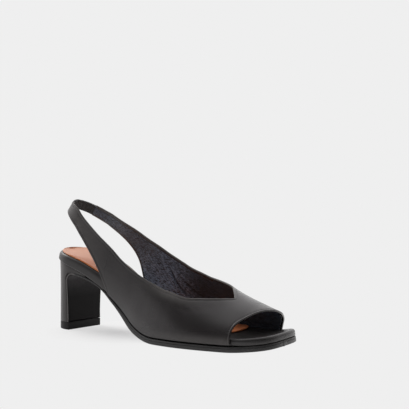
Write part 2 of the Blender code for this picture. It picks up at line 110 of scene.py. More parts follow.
PATTERN = (
    # lower edge station, girth, topline station, girth
    (LATERAL_END, -0.408, LATERAL_END, -0.192), (2.0, -0.400, 3.0, -0.130), (16.8, -0.469, 18.0, -0.215),
    (33.7, -0.586, 38.7, -0.311), (52.1, -0.731, 58.0, -0.371), (68.1, -0.895, 74.0, -0.429),
    (76.0, -1.000, 91.0, -0.447), (105.0, -1.000, 121.5, -0.410), (140.0, -1.000, 144.0, -0.452),
    (175.0, -1.000, 162.8, -0.482), (198.0, -1.000, 177.5, -0.407), (210.4, -1.000, 187.5, -0.314),
    (209.7, -0.788, 192.7, -0.249), (211.3, -0.641, 194.9, -0.219), (217.4, -0.420, 196.1, -0.197),
    (223.6, -0.037, 196.7, -0.184), (224.6, 0.320, 194.5, -0.130), (220.5, 0.640, 191.3, -0.054),
    (216.0, 0.830, 187.8, 0.024), (212.5, 1.000, 182.5, 0.125), (200.0, 1.000, 168.0, 0.242),
    (178.0, 1.000, 152.0, 0.294), (142.0, 1.000, 133.0, 0.250), (108.0, 1.000, 109.5, 0.257),
    (79.5, 1.000, 84.9, 0.287), (69.6, 0.903, 69.0, 0.268), (51.4, 0.679, 54.3, 0.261),
    (33.8, 0.546, 37.5, 0.221), (14.3, 0.489, 16.5, 0.210), (3.9, 0.488, 3.0, 0.225),
    (MEDIAL_END, 0.475, MEDIAL_END, 0.225),
)
LATERAL_FOOT, TOE_LATERAL, V_TIP, TOE_MEDIAL, MEDIAL_FOOT = 6, 11, 15, 19, 24
LAST_ROW = len(PATTERN) - 1
print("pattern rows:", len(PATTERN), " footbed length, mm:", FOOTBED_LENGTH)


# %% Curves through the tables
def curve_through(rows):
    """Function that gives rows of a table on a smooth curve at any stations."""
    table = np.asarray(rows, float)
    slope = np.gradient(table, table[:, 0], axis=0) if len(table) > 2 else np.tile(
        (table[1] - table[0]) / (table[1, 0] - table[0, 0]), (2, 1))
    secant = np.diff(table, axis=0) / np.diff(table[:, 0])[:, None]
    slope[1:-1][np.abs(secant[:-1]) * np.abs(secant[1:]) < 1e-12] = 0.0

    def at(station):
        s = np.clip(np.asarray(station, float), table[0, 0], table[-1, 0])
        i = np.clip(np.searchsorted(table[:, 0], s) - 1, 0, len(table) - 2)
        span = (table[i + 1, 0] - table[i, 0])[..., None]
        t = (s - table[i, 0])[..., None] / span
        return ((2 * t**3 - 3 * t**2 + 1) * table[i] + (t**3 - 2 * t**2 + t) * span * slope[i]
                + (3 * t**2 - 2 * t**3) * table[i + 1] + (t**3 - t**2) * span * slope[i + 1])

    return at


def path_at(start, runs, station):
    """Points (x, z) and headings in radians at arc lengths along straight runs and arcs."""
    left = np.array(station, float)
    x, z = np.full(left.shape, float(start[0])), np.full(left.shape, float(start[1]))
    turn = math.radians(start[2])
    heading = np.full(left.shape, turn)
    for length, end in runs:
        bend = (math.radians(end) - turn) / length
        along = np.clip(left, 0.0, length)
        if abs(bend) < 1e-9:
            x, z = x + along * math.cos(turn), z + along * math.sin(turn)
        else:
            x = x + (np.sin(turn + bend * along) - math.sin(turn)) / bend
            z = z - (np.cos(turn + bend * along) - math.cos(turn)) / bend
        heading = heading + bend * along
        left = left - along
        turn = math.radians(end)
    return x + left * np.cos(heading), z + left * np.sin(heading), heading


# %% Line of the footbed
def smoothstep(value, low, high):
    """Share that runs smoothly from 0 at low to 1 at high; low may be the greater."""
    share = np.clip((np.asarray(value, float) - low) / (high - low), 0.0, 1.0)
    return share * share * (3.0 - 2.0 * share)


outline_curve, footbed_curve, last_curve = (curve_through(rows) for rows in (OUTLINE, FOOTBED, LAST))
TREAD_DROP = float(path_at((0.0, 0.0, SEAT_HEADING), FOOTBED_RUNS, TREAD)[1])
SEAT_HEIGHT = FOREPART_SOLE + SEAM_GAP - TREAD_DROP


def footbed_line(station):
    """Points and headings of the footbed's underside."""
    return path_at((0.0, SEAT_HEIGHT, SEAT_HEADING), FOOTBED_RUNS, station)


print("height of the heel seat, mm:", round(SEAT_HEIGHT, 2))

# %% [markdown]
# ## Points on the last
# A point of the upper is named by its station along the footbed and its girth over the foot, which is -1
# and +1 at the two feather edges and 0 on the ridge of the instep. Behind the quarter the sections leave
# the footbed and follow the strap to the back of the heel, where they turn about an axis.

# %% Outline of the footbed
HEEL_ROUND, TOE_ROUND = 25.0, 24.0


def half_width(station, side):
    """Half-width of the footbed, rounded off at the heel and squared at the toe."""
    station = np.asarray(station, float)
    row = outline_curve(station)
    width = np.where(np.asarray(side) == LATERAL, row[..., 1], row[..., 2])
    back = np.clip(1.0 - station / HEEL_ROUND, 0.0, 1.0)
    front = np.clip(1.0 - (FOOTBED_LENGTH - station) / TOE_ROUND, 0.0, 1.0)
    return width * np.sqrt(1.0 - back**2) * (1.0 - front**3) ** (1.0 / 3.0)


ball_width = sum(float(half_width(TREAD, side)) for side in (LATERAL, MEDIAL))
print("footbed width at the ball, mm:", round(ball_width, 1))

# %% Sections of the last
SECTION_STEPS, BELLY_RISE = 40, 0.36


def last_points(station, girth):
    """Points of the last, outer face of the upper."""
    station, girth = np.broadcast_arrays(np.asarray(station, float), np.clip(girth, -1.0, 1.0))
    side = np.where(girth < 0, LATERAL, MEDIAL)
    _, tilt, height, top, shoulder, share, belly, sway = np.moveaxis(last_curve(station), -1, 0)
    base = half_width(np.maximum(station, HEEL_AXIS), side) + LASTING_GAP + UPPER_WALL
    t = np.linspace(0.0, 1.0, SECTION_STEPS + 1)
    weights = np.stack([(1 - t) ** 3, 3 * (1 - t) ** 2 * t, 3 * (1 - t) * t**2, t**3])
    out = np.stack([base, base + belly, shoulder, top], axis=-1) @ weights
    levels = [np.full(base.shape, UPPER_LIFT), BELLY_RISE * height, share * height, height]
    up = np.stack(levels, axis=-1) @ weights
    run = np.cumsum(np.hypot(np.diff(out), np.diff(up)), axis=-1)
    run = np.concatenate([np.zeros(run.shape[:-1] + (1,)), run], axis=-1)
    run /= run[..., -1:]
    rise = 1.0 - np.abs(girth)
    k = np.clip((run < rise[..., None]).sum(axis=-1) - 1, 0, SECTION_STEPS - 1)[..., None]

    def pick(values, index):
        return np.take_along_axis(values, index, axis=-1)[..., 0]

    share = (rise - pick(run, k)) / (pick(run, k + 1) - pick(run, k))
    out = pick(out, k) + (pick(out, k + 1) - pick(out, k)) * share
    up = pick(up, k) + (pick(up, k + 1) - pick(up, k)) * share
    tilt = np.radians(tilt)
    x, z, _ = footbed_line(np.maximum(station, QUARTER_FOOT))
    back = QUARTER_FOOT - np.clip(station, HEEL_AXIS, QUARTER_FOOT)
    turn = np.maximum(0.0, HEEL_AXIS - station) / BACK_RUN * math.pi / 2
    ahead = up * np.sin(tilt) - out * np.sin(turn) * np.cos(tilt)
    rising = up * np.cos(tilt) + out * np.sin(turn) * np.sin(tilt)
    across = out * np.cos(turn) * side + sway * up / height
    return np.stack([x - back * np.cos(tilt) + ahead, across, z + back * np.sin(tilt) + rising], axis=-1)


# %% Edges of the cutting pattern
def edge_curve(columns, ends):
    """Smooth curve through two columns of the pattern, with corners at the rows in ends."""
    parts = []
    for first, last in zip(ends, ends[1:]):
        rows = [(i, *(PATTERN[i][column] for column in columns)) for i in range(first, last + 1)]
        parts.append((first, last, curve_through(rows)))

    def at(row):
        row = np.asarray(row, float)
        value = np.zeros(row.shape + (2,))
        for first, last, curve in parts:
            inside = (row >= first) & (row <= last)
            value[inside] = curve(row[inside])[..., 1:]
        return value

    return at


lower_edge = edge_curve((0, 1), (0, LATERAL_FOOT, TOE_LATERAL, TOE_MEDIAL, MEDIAL_FOOT, LAST_ROW))
topline = edge_curve((2, 3), (0, V_TIP, LAST_ROW))


def upper_points(row, rise):
    """Points of the upper's outer face: rise is 0 on the lower edge and 1 on the topline."""
    low, high = lower_edge(row), topline(row)
    place = low + (high - low) * np.asarray(rise, float)[..., None]
    return last_points(place[..., 0], place[..., 1])


marks = upper_points(np.array([0.0, V_TIP, LAST_ROW]), np.ones(3))
print("strap ends and V tip, mm:", np.round(marks, 1).tolist())

# %% [markdown]
# ## Making pieces
# Most pieces are a grid of cells wrapped round a section: the grid is made by the grid operator, its
# vertices are moved to their places, the seam is merged and the open ends are filled. A finished piece is
# raised at the toe like the solids, brought to metres in the part's frame, tied to the shoe's one body and
# given its material slot.

# %% Wrapped grids
TOE_LIFT_FROM, TOE_LIFT_RUN = 186.0, 36.0


def toe_lift(points):
    """Rise of the inner side and drop of the outer side towards the toe."""
    share = np.clip((points[..., 0] - TOE_LIFT_FROM) / TOE_LIFT_RUN, 0.0, 1.0)
    return TOE_TWIST * points[..., 1] * share**2


def wrapped_grid(ring_points, layers=None, cell_material=None):
    """Closed bmesh from points[row, ring position], with vertex layers by name and a material per cell."""
    rows, ring = ring_points.shape[0] - 1, ring_points.shape[1]
    layers = layers or {}
    made = bmesh.new()
    bmesh.ops.create_grid(made, x_segments=rows, y_segments=ring, size=0.5)
    if cell_material is not None:
        for face in made.faces:
            middle = face.calc_center_median()
            i, j = int((middle.x + 0.5) * rows), int((middle.y + 0.5) * ring)
            face.material_index = int(cell_material[i, j])
    for name in layers:
        made.verts.layers.float.new(name)
    kept = [(made.verts.layers.float[name], values) for name, values in layers.items()]
    for vertex in made.verts:
        i, j = round((vertex.co.x + 0.5) * rows), round((vertex.co.y + 0.5) * ring) % ring
        vertex.co = Vector(ring_points[i, j])
        for layer, values in kept:
            vertex[layer] = float(values[i, j])
    bmesh.ops.remove_doubles(made, verts=made.verts, dist=1e-4)
    bmesh.ops.holes_fill(made, edges=made.edges, sides=0)
    bmesh.ops.delete(made, geom=[edge for edge in made.edges if not edge.link_faces], context="EDGES")
    return made


# %% Finished pieces
def to_mesh(name, made):
    """Mesh from a bmesh, which is freed."""
    mesh = bpy.data.meshes.new(name)
    made.to_mesh(mesh)
    made.free()
    return mesh


def add_object(name, data):
    """Object in the scene for a mesh, a lamp or a camera."""
    item = bpy.data.objects.new(name, data)
    bpy.context.scene.collection.objects.link(item)
    return item


def finish_piece(name, made, materials, node=None, sharp=40.0):
    """Object in the part's frame from a bmesh in millimetres."""
    bmesh.ops.recalc_face_normals(made, faces=made.faces)
    for vertex in made.verts:
        vertex.co.z += float(toe_lift(np.array(vertex.co)))
    bmesh.ops.scale(made, vec=Vector((MM, MM, MM)), verts=made.verts)
    bmesh.ops.translate(made, vec=LAST_ORIGIN, verts=made.verts)
    mesh = to_mesh(name, made)
    for material in materials:
        mesh.materials.append(material)
    mesh.shade_smooth()
    mesh.set_sharp_from_angle(angle=math.radians(sharp))
    piece = add_object(name, mesh)
    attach(piece, "root")
    if node:
        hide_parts(node)
    print(name, "faces:", len(mesh.polygons))


# %% [markdown]
# ## Shared surface effects
# Four effects are node groups: the grain of leather, which is small rounded cells broken by a finer noise;
# the short wavy wrinkles of a lining; the polish along a folded edge, where hands and feet rub the finish
# off; and the ribs of an elastic tape. They could be painted as images, but nodes stay sharp up close and
# serve every piece. They only give heights and masks, and each material decides what to do with them.

# %% Helpers for node groups
def node_group(name, inputs, outputs):
    """Empty shader node group with float or vector inputs and float outputs."""
    group = bpy.data.node_groups.new(name, "ShaderNodeTree")
    for label, kind, value in inputs:
        socket = group.interface.new_socket(name=label, in_out="INPUT", socket_type=kind)
        if value is not None:
            socket.default_value = value
    for label in outputs:
        group.interface.new_socket(name=label, in_out="OUTPUT", socket_type="NodeSocketFloat")
    return group, group.nodes.new("NodeGroupInput"), group.nodes.new("NodeGroupOutput")


def math_node(tree, operation, *values):
    """Math node whose inputs are sockets or numbers."""
    node = tree.nodes.new("ShaderNodeMath")
    node.operation = operation
    for socket, value in zip(node.inputs, values):
        if isinstance(value, (int, float)):
            socket.default_value = value
        else:
            tree.links.new(value, socket)
    return node.outputs[0]


def noise_node(group, source, **values):
    """Noise texture on the group's Vector input, with constants for its other inputs."""
    node = group.nodes.new("ShaderNodeTexNoise")
    group.links.new(source.outputs["Vector"], node.inputs["Vector"])
    for label, value in values.items():
        node.inputs[label].default_value = value
    return node


# %% Grain and wrinkles
TEXTURE_INPUTS = (("Vector", "NodeSocketVector", None), ("Cells", "NodeSocketFloat", 900.0))
CELL_SOFTNESS, FINE_RATIO, PEBBLE_HEIGHT, FINE_HEIGHT, GRAIN_PATCHES = 0.6, 1.7, -0.7, 0.6, 38.0
FOLD_START, FOLD_SLOPE, CREST, WRINKLE_PATCHES, PATCH_RANGE, PATCH_LEAST = 0.36, 3.4, 1.6, 60.0, 0.3, 0.85


def grain_group():
    """Small rounded cells less a finer noise, and a broad tone."""
    group, source, result = node_group("leather_grain", TEXTURE_INPUTS, ("Height", "Tone"))
    cells = group.nodes.new("ShaderNodeTexVoronoi")
    cells.feature = "SMOOTH_F1"
    cells.inputs["Smoothness"].default_value = CELL_SOFTNESS
    group.links.new(source.outputs["Vector"], cells.inputs["Vector"])
    group.links.new(source.outputs["Cells"], cells.inputs["Scale"])
    fine, broad = noise_node(group, source, Detail=3.0), noise_node(group, source, Scale=GRAIN_PATCHES)
    fine_cells = math_node(group, "MULTIPLY", source.outputs["Cells"], FINE_RATIO)
    group.links.new(fine_cells, fine.inputs["Scale"])
    pebbles = math_node(group, "MULTIPLY", cells.outputs["Distance"], PEBBLE_HEIGHT)
    height = math_node(group, "MULTIPLY_ADD", fine.outputs["Fac"], FINE_HEIGHT, pebbles)
    group.links.new(height, result.inputs["Height"])
    group.links.new(broad.outputs["Fac"], result.inputs["Tone"])
    return group


def wrinkle_group():
    """Ridges between wavy folds, with a tone that paints highlights on their crests, uneven in patches."""
    group, source, result = node_group("lining_wrinkles", TEXTURE_INPUTS, ("Height", "Tone"))
    folds = noise_node(group, source, Detail=2.0, Distortion=0.6)
    group.links.new(source.outputs["Cells"], folds.inputs["Scale"])
    over = math_node(group, "SUBTRACT", folds.outputs["Fac"], FOLD_START)
    ridge = math_node(group, "MULTIPLY", over, FOLD_SLOPE)
    height = math_node(group, "MAXIMUM", math_node(group, "MINIMUM", ridge, 1.0), 0.0)
    broad = noise_node(group, source, Scale=WRINKLE_PATCHES)
    patches = math_node(group, "MULTIPLY_ADD", broad.outputs["Fac"], PATCH_RANGE, PATCH_LEAST)
    # The tone paints highlights on the crests of the wrinkles.
    tone = math_node(group, "MULTIPLY", math_node(group, "POWER", height, CREST), patches)
    group.links.new(height, result.inputs["Height"])
    group.links.new(tone, result.inputs["Tone"])
    return group


GRAIN, WRINKLES = grain_group(), wrinkle_group()
print("node groups:", GRAIN.name, WRINKLES.name)

# %% Polish and ribs
POLISH_PATCHES, POLISH_RANGE, POLISH_LEAST = 260.0, 0.7, 0.55
RIB_TURN, PICK_TURN, PICK_HEIGHT = 7.0, 11.0, 0.35


def polish_group():
    """Share of a layer's tone, uneven along it: polish on worn edges, and the painted light that shares the
    calf's layer.
    """
    inputs = (TEXTURE_INPUTS[0], ("Edge", "NodeSocketFloat", 0.0))
    group, source, result = node_group("edge_polish", inputs, ("Mask",))
    patches = noise_node(group, source, Scale=POLISH_PATCHES, Detail=2.0)
    uneven = math_node(group, "MULTIPLY_ADD", patches.outputs["Fac"], POLISH_RANGE, POLISH_LEAST)
    group.links.new(math_node(group, "MULTIPLY", uneven, source.outputs["Edge"]), result.inputs["Mask"])
    return group


def rib_group():
    """Ribs along a tape, crossed by fainter picks."""
    inputs = (("Across", "NodeSocketFloat", 0.0), ("Along", "NodeSocketFloat", 0.0))
    group, source, result = node_group("elastic_ribs", inputs, ("Height",))
    ribs = math_node(group, "SINE", math_node(group, "MULTIPLY", source.outputs["Across"], RIB_TURN))
    picks = math_node(group, "SINE", math_node(group, "MULTIPLY", source.outputs["Along"], PICK_TURN))
    group.links.new(math_node(group, "MULTIPLY_ADD", picks, PICK_HEIGHT, ribs), result.inputs["Height"])
    return group


POLISH, RIBS = polish_group(), rib_group()
print("node groups:", POLISH.name, RIBS.name)

# %% [markdown]
# ## Leathers
# The outside is smooth black calf with a low gloss. The lining is a thinner, wrinkled black leather with
# painted highlights on its wrinkles and painted light low down where the foot goes in. The wrapped footbed and
# heel are the same calf stretched tight, the heel paler where its cover is rolled over an edge, and the sock is
# undyed tan leather.
# Each material could be built by hand, but one recipe keeps them alike: a base colour that wanders a little, a
# roughness that wanders with it, and a fine bump of grain. Where a piece has polished folds, or where light,
# shade or a reflection is painted in, a vertex layer mixes in another tone.

# %% Helpers for materials
def new_material(name):
    """Material with its node tree and its Principled shader."""
    material = bpy.data.materials.new(name)
    material.use_nodes = True
    return material, material.node_tree, material.node_tree.nodes["Principled BSDF"]


def mixed(tree, mask, low, high):
    """Value or colour that runs from low to high with a mask; low may be a socket."""
    node = tree.nodes.new("ShaderNodeMix")
    colour = isinstance(high, tuple)
    node.data_type = "RGBA" if colour else "FLOAT"
    first, second = node.inputs[6:8] if colour else node.inputs[2:4]
    if isinstance(low, (tuple, float)):
        first.default_value = low
    else:
        tree.links.new(low, first)
    second.default_value = high
    tree.links.new(mask, node.inputs[0])
    return node.outputs[2 if colour else 0]


def group_node(tree, group, **sources):
    """Node group in a material, with sockets linked to its inputs."""
    node = tree.nodes.new("ShaderNodeGroup")
    node.node_tree = group
    for label, socket in sources.items():
        tree.links.new(socket, node.inputs[label])
    return node


def vertex_layer(tree, name):
    """Value of a vertex layer."""
    node = tree.nodes.new("ShaderNodeAttribute")
    node.attribute_name = name
    return node.outputs["Fac"]


def add_relief(tree, shader, height, relief):
    """Bump on a shader, its relief in metres."""
    bump = tree.nodes.new("ShaderNodeBump")
    bump.inputs["Strength"].default_value = 1.0
    bump.inputs["Distance"].default_value = relief
    tree.links.new(height, bump.inputs["Height"])
    tree.links.new(bump.outputs["Normal"], shader.inputs["Normal"])


# %% Leather recipe
def leather(name, dark, light, rough, cells, relief, stretch=(1.0, 1.0, 1.0), turn=0.0, edge=None,
            layer_tone=None, edge_rough=None, shine=0.5, texture=None):
    """Leather: base colours, roughness range, grain cells per metre, relief in metres and a layer tone for
    polish and painted light and shade.
    """
    material, tree, shader = new_material(name)
    place = tree.nodes.new("ShaderNodeTexCoord").outputs["Object"]
    mapping = tree.nodes.new("ShaderNodeMapping")
    mapping.vector_type = "TEXTURE"
    mapping.inputs["Rotation"].default_value = (0.0, math.radians(turn), 0.0)
    mapping.inputs["Scale"].default_value = stretch
    tree.links.new(place, mapping.inputs["Vector"])
    grain = group_node(tree, texture or GRAIN, Vector=mapping.outputs["Vector"])
    grain.inputs["Cells"].default_value = cells
    tone = grain.outputs["Tone"]
    colour, roughness = mixed(tree, tone, (*dark, 1.0), (*light, 1.0)), mixed(tree, tone, *rough)
    # The vertex layer mixes in each piece's tone: polish and painted light on the calf, painted light and shade
    # on the lining, breast and sock.
    if edge:
        polish_and_painted_light_share = vertex_layer(tree, edge)
        if texture:
            mask = math_node(tree, "MULTIPLY", polish_and_painted_light_share, tone)
        else:
            mask = group_node(tree, POLISH, Vector=place, Edge=polish_and_painted_light_share).outputs["Mask"]
        colour = mixed(tree, mask, colour, (*layer_tone, 1.0))
        if edge_rough:
            roughness = mixed(tree, mask, roughness, edge_rough)
    tree.links.new(colour, shader.inputs["Base Color"])
    tree.links.new(roughness, shader.inputs["Roughness"])
    shader.inputs["Specular IOR Level"].default_value = shine
    add_relief(tree, shader, grain.outputs["Height"], relief)
    return material


# %% Leathers of the shoe
# The calf's paler layer tone is polish on its folded edges, together with a painted highlight, a painted
# reflection and painted light, all worked out below.
calf = leather("black_calf", (0.0075, 0.0056, 0.0056), (0.011, 0.0088, 0.0088), (0.22, 0.30), 1500.0, 0.00004,
               edge="polish_and_painted_light", layer_tone=(0.090, 0.084, 0.080), edge_rough=0.85)
# The lining's paler tone is painted light low down, less painted shade in its creases, with painted highlights
# on the crests of its wrinkles.
lining = leather("pebbled_lining", (0.013, 0.017, 0.026), (0.044, 0.057, 0.082), (0.46, 0.34), 2100.0, 0.0003,
                 stretch=(5.0, 1.0, 1.0), turn=20.0, edge="lining_painted_light_and_shade", layer_tone=(0.32, 0.39, 0.52),
                 texture=WRINKLES)
wrap = leather("footbed_wrap", (0.0085, 0.0075, 0.0072), (0.014, 0.0125, 0.012), (0.34, 0.44), 1300.0, 0.00003)
cover = leather("heel_cover", (0.0115, 0.0095, 0.009), (0.016, 0.0135, 0.013), (0.34, 0.42), 1300.0, 0.00002,
                shine=0.4)
sole_leather = leather("sole_edge", (0.007, 0.007, 0.007), (0.012, 0.0115, 0.011), (0.40, 0.52), 700.0, 0.00003)
cover_edge = leather("cover_edge", (0.075, 0.071, 0.069), (0.105, 0.100, 0.097), (0.5, 0.6), 1300.0, 0.00002)
# The breast's paler tone at its top is painted light.
breast_leather = leather("breast_cover", (0.005, 0.0045, 0.0045), (0.008, 0.007, 0.007), (0.32, 0.40), 900.0,
                         0.00002, edge="painted_light_and_shade", layer_tone=(0.045, 0.042, 0.043), shine=0.06)
rubber = leather("tip_rubber", (0.007, 0.0066, 0.0066), (0.011, 0.0105, 0.0105), (0.45, 0.58), 600.0, 0.00005,
                 shine=0.15)
thread = leather("black_thread", (0.012, 0.012, 0.012), (0.03, 0.03, 0.03), (0.5, 0.6), 2500.0, 0.00004)
# The sock's deeper tan is a painted reflection, mixed in by its layer.
tan = leather("tan_sock", (0.64, 0.30, 0.18), (0.69, 0.335, 0.205), (0.40, 0.48), 1100.0, 0.00003,
              edge="painted_light_and_shade", layer_tone=(0.53, 0.17, 0.062), shine=0.2)
LEATHERS = (calf, lining, wrap, cover, cover_edge, sole_leather, breast_leather, rubber, thread, tan)
print("leathers:", [material.name for material in LEATHERS])

# %% [markdown]
# ## The footbed, the sock and the outsole
# The footbed is a board wrapped in leather, so every edge of it is round, most of all at the open toe where
# it is seen. The sock is a thin leaf glued on top of it. The outsole runs up the arch and turns down over
# the heel breast, and its side shows the fine line between its two layers. An extruded outline would do for
# a flat board. Here each is a slab, one closed section carried along the foot, because that keeps the edges
# even where the shank bends.

# %% Slabs
def inset_outline(stations, width, side, inset):
    """Plan points (station, y) of one side of an outline, moved inwards by the inset."""
    line = np.stack([stations, side * width(stations, side)], axis=1)
    along = np.gradient(line, axis=0)
    along[0], along[-1] = (0.0, side), (0.0, -side)
    along /= np.linalg.norm(along, axis=1)[:, None]
    return line + inset * np.stack([side * along[:, 1], -side * along[:, 0]], axis=1)


def slab(stations, width, half_ring, line, height, tint=None):
    """Closed slab: half_ring has (inset, across, level) rows from the middle of one face to the other's."""
    ring = [(LATERAL, *row) for row in half_ring] + [(MEDIAL, *row) for row in half_ring[-2:0:-1]]
    points = np.zeros((len(stations), len(ring), 3))
    for j, (side, inset, across, level) in enumerate(ring):
        station, y = inset_outline(stations, width, side, inset).T
        x, z, heading = line(station)
        up = height(station, across, level)
        points[:, j] = np.stack([x - up * np.sin(heading), y * across, z + up * np.cos(heading)], axis=1)
    # The tint is a share of painted light and shade that the material mixes in.
    return wrapped_grid(points, {"painted_light_and_shade": tint(points)} if tint else None)


def round_corner(radius, level, next_level, steps, closing):
    """Quarter round of a section between a side level and a face level, as (inset, across, level) rows."""
    turns = [math.pi / 2 * i / steps for i in range(steps + 1)]
    rows = [(radius * (1 - math.cos(a)), 1.0, level + (next_level - level) * math.sin(a)) for a in turns]
    return rows if closing else rows[::-1]


def eased(count, first, last):
    """Stations that crowd towards both ends."""
    return first + (last - first) * (1 - np.cos(np.linspace(0.0, math.pi, count + 1))) / 2


# %% Footbed
FOOTBED_ROUND, UNDER_ROUND = 2.2, 1.0
DISH_DEPTH, DISH_END, DISH_RUN = 1.2, 150.0, 60.0


def seat_dish(station, across):
    """Depth of the hollow in the middle of the footbed."""
    return DISH_DEPTH * np.clip((DISH_END - station) / DISH_RUN, 0.0, 1.0) * (1.0 - across**2)


def footbed_height(station, across, level):
    """Height over the underside: level is 0 there and 1 on top."""
    return level * (footbed_curve(station)[..., 1] - seat_dish(station, across))


footbed_half = ([(UNDER_ROUND, 0.0, 0.0), (UNDER_ROUND, 0.5, 0.0)]
                + round_corner(UNDER_ROUND, 0.16, 0.0, 4, False)
                + round_corner(FOOTBED_ROUND, 0.55, 1.0, 8, True)
                + [(FOOTBED_ROUND, a, 1.0) for a in (0.97, 0.9, 0.75, 0.5, 0.25, 0.0)])
footbed_bm = slab(eased(200, 0.0, FOOTBED_LENGTH), half_width, footbed_half, footbed_line, footbed_height)
finish_piece("footbed_wrapped", footbed_bm, [wrap], "footbed")

# %% [markdown]
# The sock is the tan leaf that the foot stands on. It could be a flat sheet laid over the footbed, but as a
# slab of its own it has an edge with a little thickness. It is pale on the seat, and in front of a slanting
# line it is a deeper tan, a painted reflection of something dark beside the shoe; a vertex layer tells its
# material where.

# %% Sock
SOCK_INSET, SOCK_THICKNESS, SOCK_FRONT, SOCK_NOSE, SOCK_WAIST = 2.0, 1.0, 196.0, 16.0, 3.0
SEAT_END, SEAT_END_ACROSS = (34.0, -13.5), (0.744, -0.668)


def sock_width(station, side):
    """Half-width of the sock before its inset, drawn in at the inner waist and rounded in front."""
    front = np.clip(1.0 - (SOCK_FRONT - station) / SOCK_NOSE, 0.0, 1.0)
    waist = SOCK_WAIST * smoothstep(station, 30.0, 48.0) * smoothstep(station, 120.0, 95.0)
    drawn_in = half_width(station, side) - waist * (np.asarray(side) == MEDIAL)
    return drawn_in * np.sqrt(np.maximum(0.0, 1.0 - front**2))


def sock_height(station, across, level):
    """Height over the footbed's underside: the leaf lies on top of the footbed."""
    return footbed_curve(station)[..., 1] - seat_dish(station, across) + SEAM_GAP + level * SOCK_THICKNESS


def sock_painted_reflection(points):
    """Share of the painted reflection: the pale seat ends on a slanting line and the leaf is painted a deeper
    tan in front of it.
    """
    return smoothstep((points[..., :2] - SEAT_END) @ np.array(SEAT_END_ACROSS), -6.0, 5.0)


sock_half = [(SOCK_INSET + inset, across, level) for inset, across, level in
             [(0.2, 0.0, 0.0), (0.2, 0.5, 0.0), (0.2, 1.0, 0.0)] + round_corner(0.5, 0.25, 1.0, 4, True)
             + [(0.5, a, 1.0) for a in (0.96, 0.85, 0.6, 0.3, 0.0)]]
sock_bm = slab(eased(140, 0.0, SOCK_FRONT), sock_width, sock_half, footbed_line, sock_height, sock_painted_reflection)
finish_piece("sock_leaf", sock_bm, [tan], "sock")

# %% [markdown]
# The outsole is bent leather: it starts at the foot of the heel breast, goes straight up, turns under the
# arch and follows the footbed to the toe. It could be two pieces, but one slab along one line shows no
# joint. The part on the breast is a smoother leather, paler along its cut sides, with painted light at its top.

# %% Line of the outsole
TOP_PIECE, HEEL_BREAST, HEEL_RADIUS, HEEL_INSET = 6.3, 18.8, 20.0, 1.0
BREAST_FILLET, ARCH_HEADING, SOLE_MEETS, BLANK_FRONT = 7.5, -2.0, 62.0, 46.0


def shank_point(station, drop):
    """Points and headings at a distance under the footbed's underside."""
    x, z, heading = footbed_line(station)
    return x + drop * np.sin(heading), z - drop * np.cos(heading), heading


def breast_path():
    """Start and runs of the sole where it turns down the heel breast, ending on the footbed line."""
    start = (HEEL_BREAST + SEAM_GAP, TOP_PIECE + SEAM_GAP, 90.0)
    fillet = (BREAST_FILLET * math.radians(90.0 - ARCH_HEADING), ARCH_HEADING)
    meet_x, meet_z, slope = (float(value) for value in shank_point(SOLE_MEETS, SEAM_GAP))
    x, z, turn = (float(value) for value in path_at(start, (fillet,), fillet[0]))
    radius = (meet_x - x) / (math.sin(turn) - math.sin(slope))
    rise = meet_z + radius * (math.cos(turn) - math.cos(slope)) - z
    return start, ((rise, 90.0), fillet, (radius * (turn - slope), math.degrees(slope)))


BREAST_START, BREAST_RUNS = breast_path()
BREAST_RISE, FILLET_RUN = BREAST_RUNS[0][0], BREAST_RUNS[1][0]
FLAP_LENGTH = sum(length for length, _ in BREAST_RUNS)
SOLE_LENGTH = FLAP_LENGTH + FOOTBED_LENGTH + 0.1 - SOLE_MEETS


def sole_line(station):
    """Points and headings of the outsole's upper face, from the foot of the breast to the toe."""
    flap = path_at(BREAST_START, BREAST_RUNS, np.minimum(station, FLAP_LENGTH))
    bed = shank_point(np.maximum(SOLE_MEETS + station - FLAP_LENGTH, SOLE_MEETS), SEAM_GAP)
    return tuple(np.where(station < FLAP_LENGTH, a, b) for a, b in zip(flap, bed))


# %% Thickness and width of the outsole
SOLE_THICKENS, SOLE_WIDENS = (8.0, 53.0), (62.0, 84.0)
BREAST_FLARE, BREAST_BLEND = 2.0, 30.0
WELT_STATIONS, WELT_REACH, WELT_WIDTH = (209.0, 221.0), (2.5, 0.1), 30.0


def sole_height(station, across, level):
    """Height under the sole line: level is 0 on top and 1 on the ground face."""
    thicker = (FOREPART_SOLE - SHANK_SOLE) * smoothstep(station - FLAP_LENGTH, *SOLE_THICKENS)
    return -level * (SHANK_SOLE + thicker)


def sole_width(station, side):
    """Half-width of the outsole: the heel breast, then the footbed with the upper round it."""
    breast = HEEL_RADIUS + BREAST_FLARE * np.clip(station / BREAST_RISE, 0.0, 1.0) ** 2
    table = np.arange(0.0, 90.0, 3.0)
    behind = np.interp(sole_line(station)[0], footbed_line(table)[0], table)
    bed = np.where(station < FLAP_LENGTH, behind, SOLE_MEETS + station - FLAP_LENGTH)
    seat = half_width(bed, side) - HEEL_INSET
    welt = half_width(bed, side) * (1.0 + np.interp(bed, WELT_STATIONS, WELT_REACH) / WELT_WIDTH)
    wide = seat + (welt - seat) * smoothstep(bed, *SOLE_WIDENS)
    return breast + (wide - breast) * smoothstep(station, BREAST_RISE, BREAST_RISE + BREAST_BLEND)


print("outsole length with its flap, mm:", round(SOLE_LENGTH, 1))

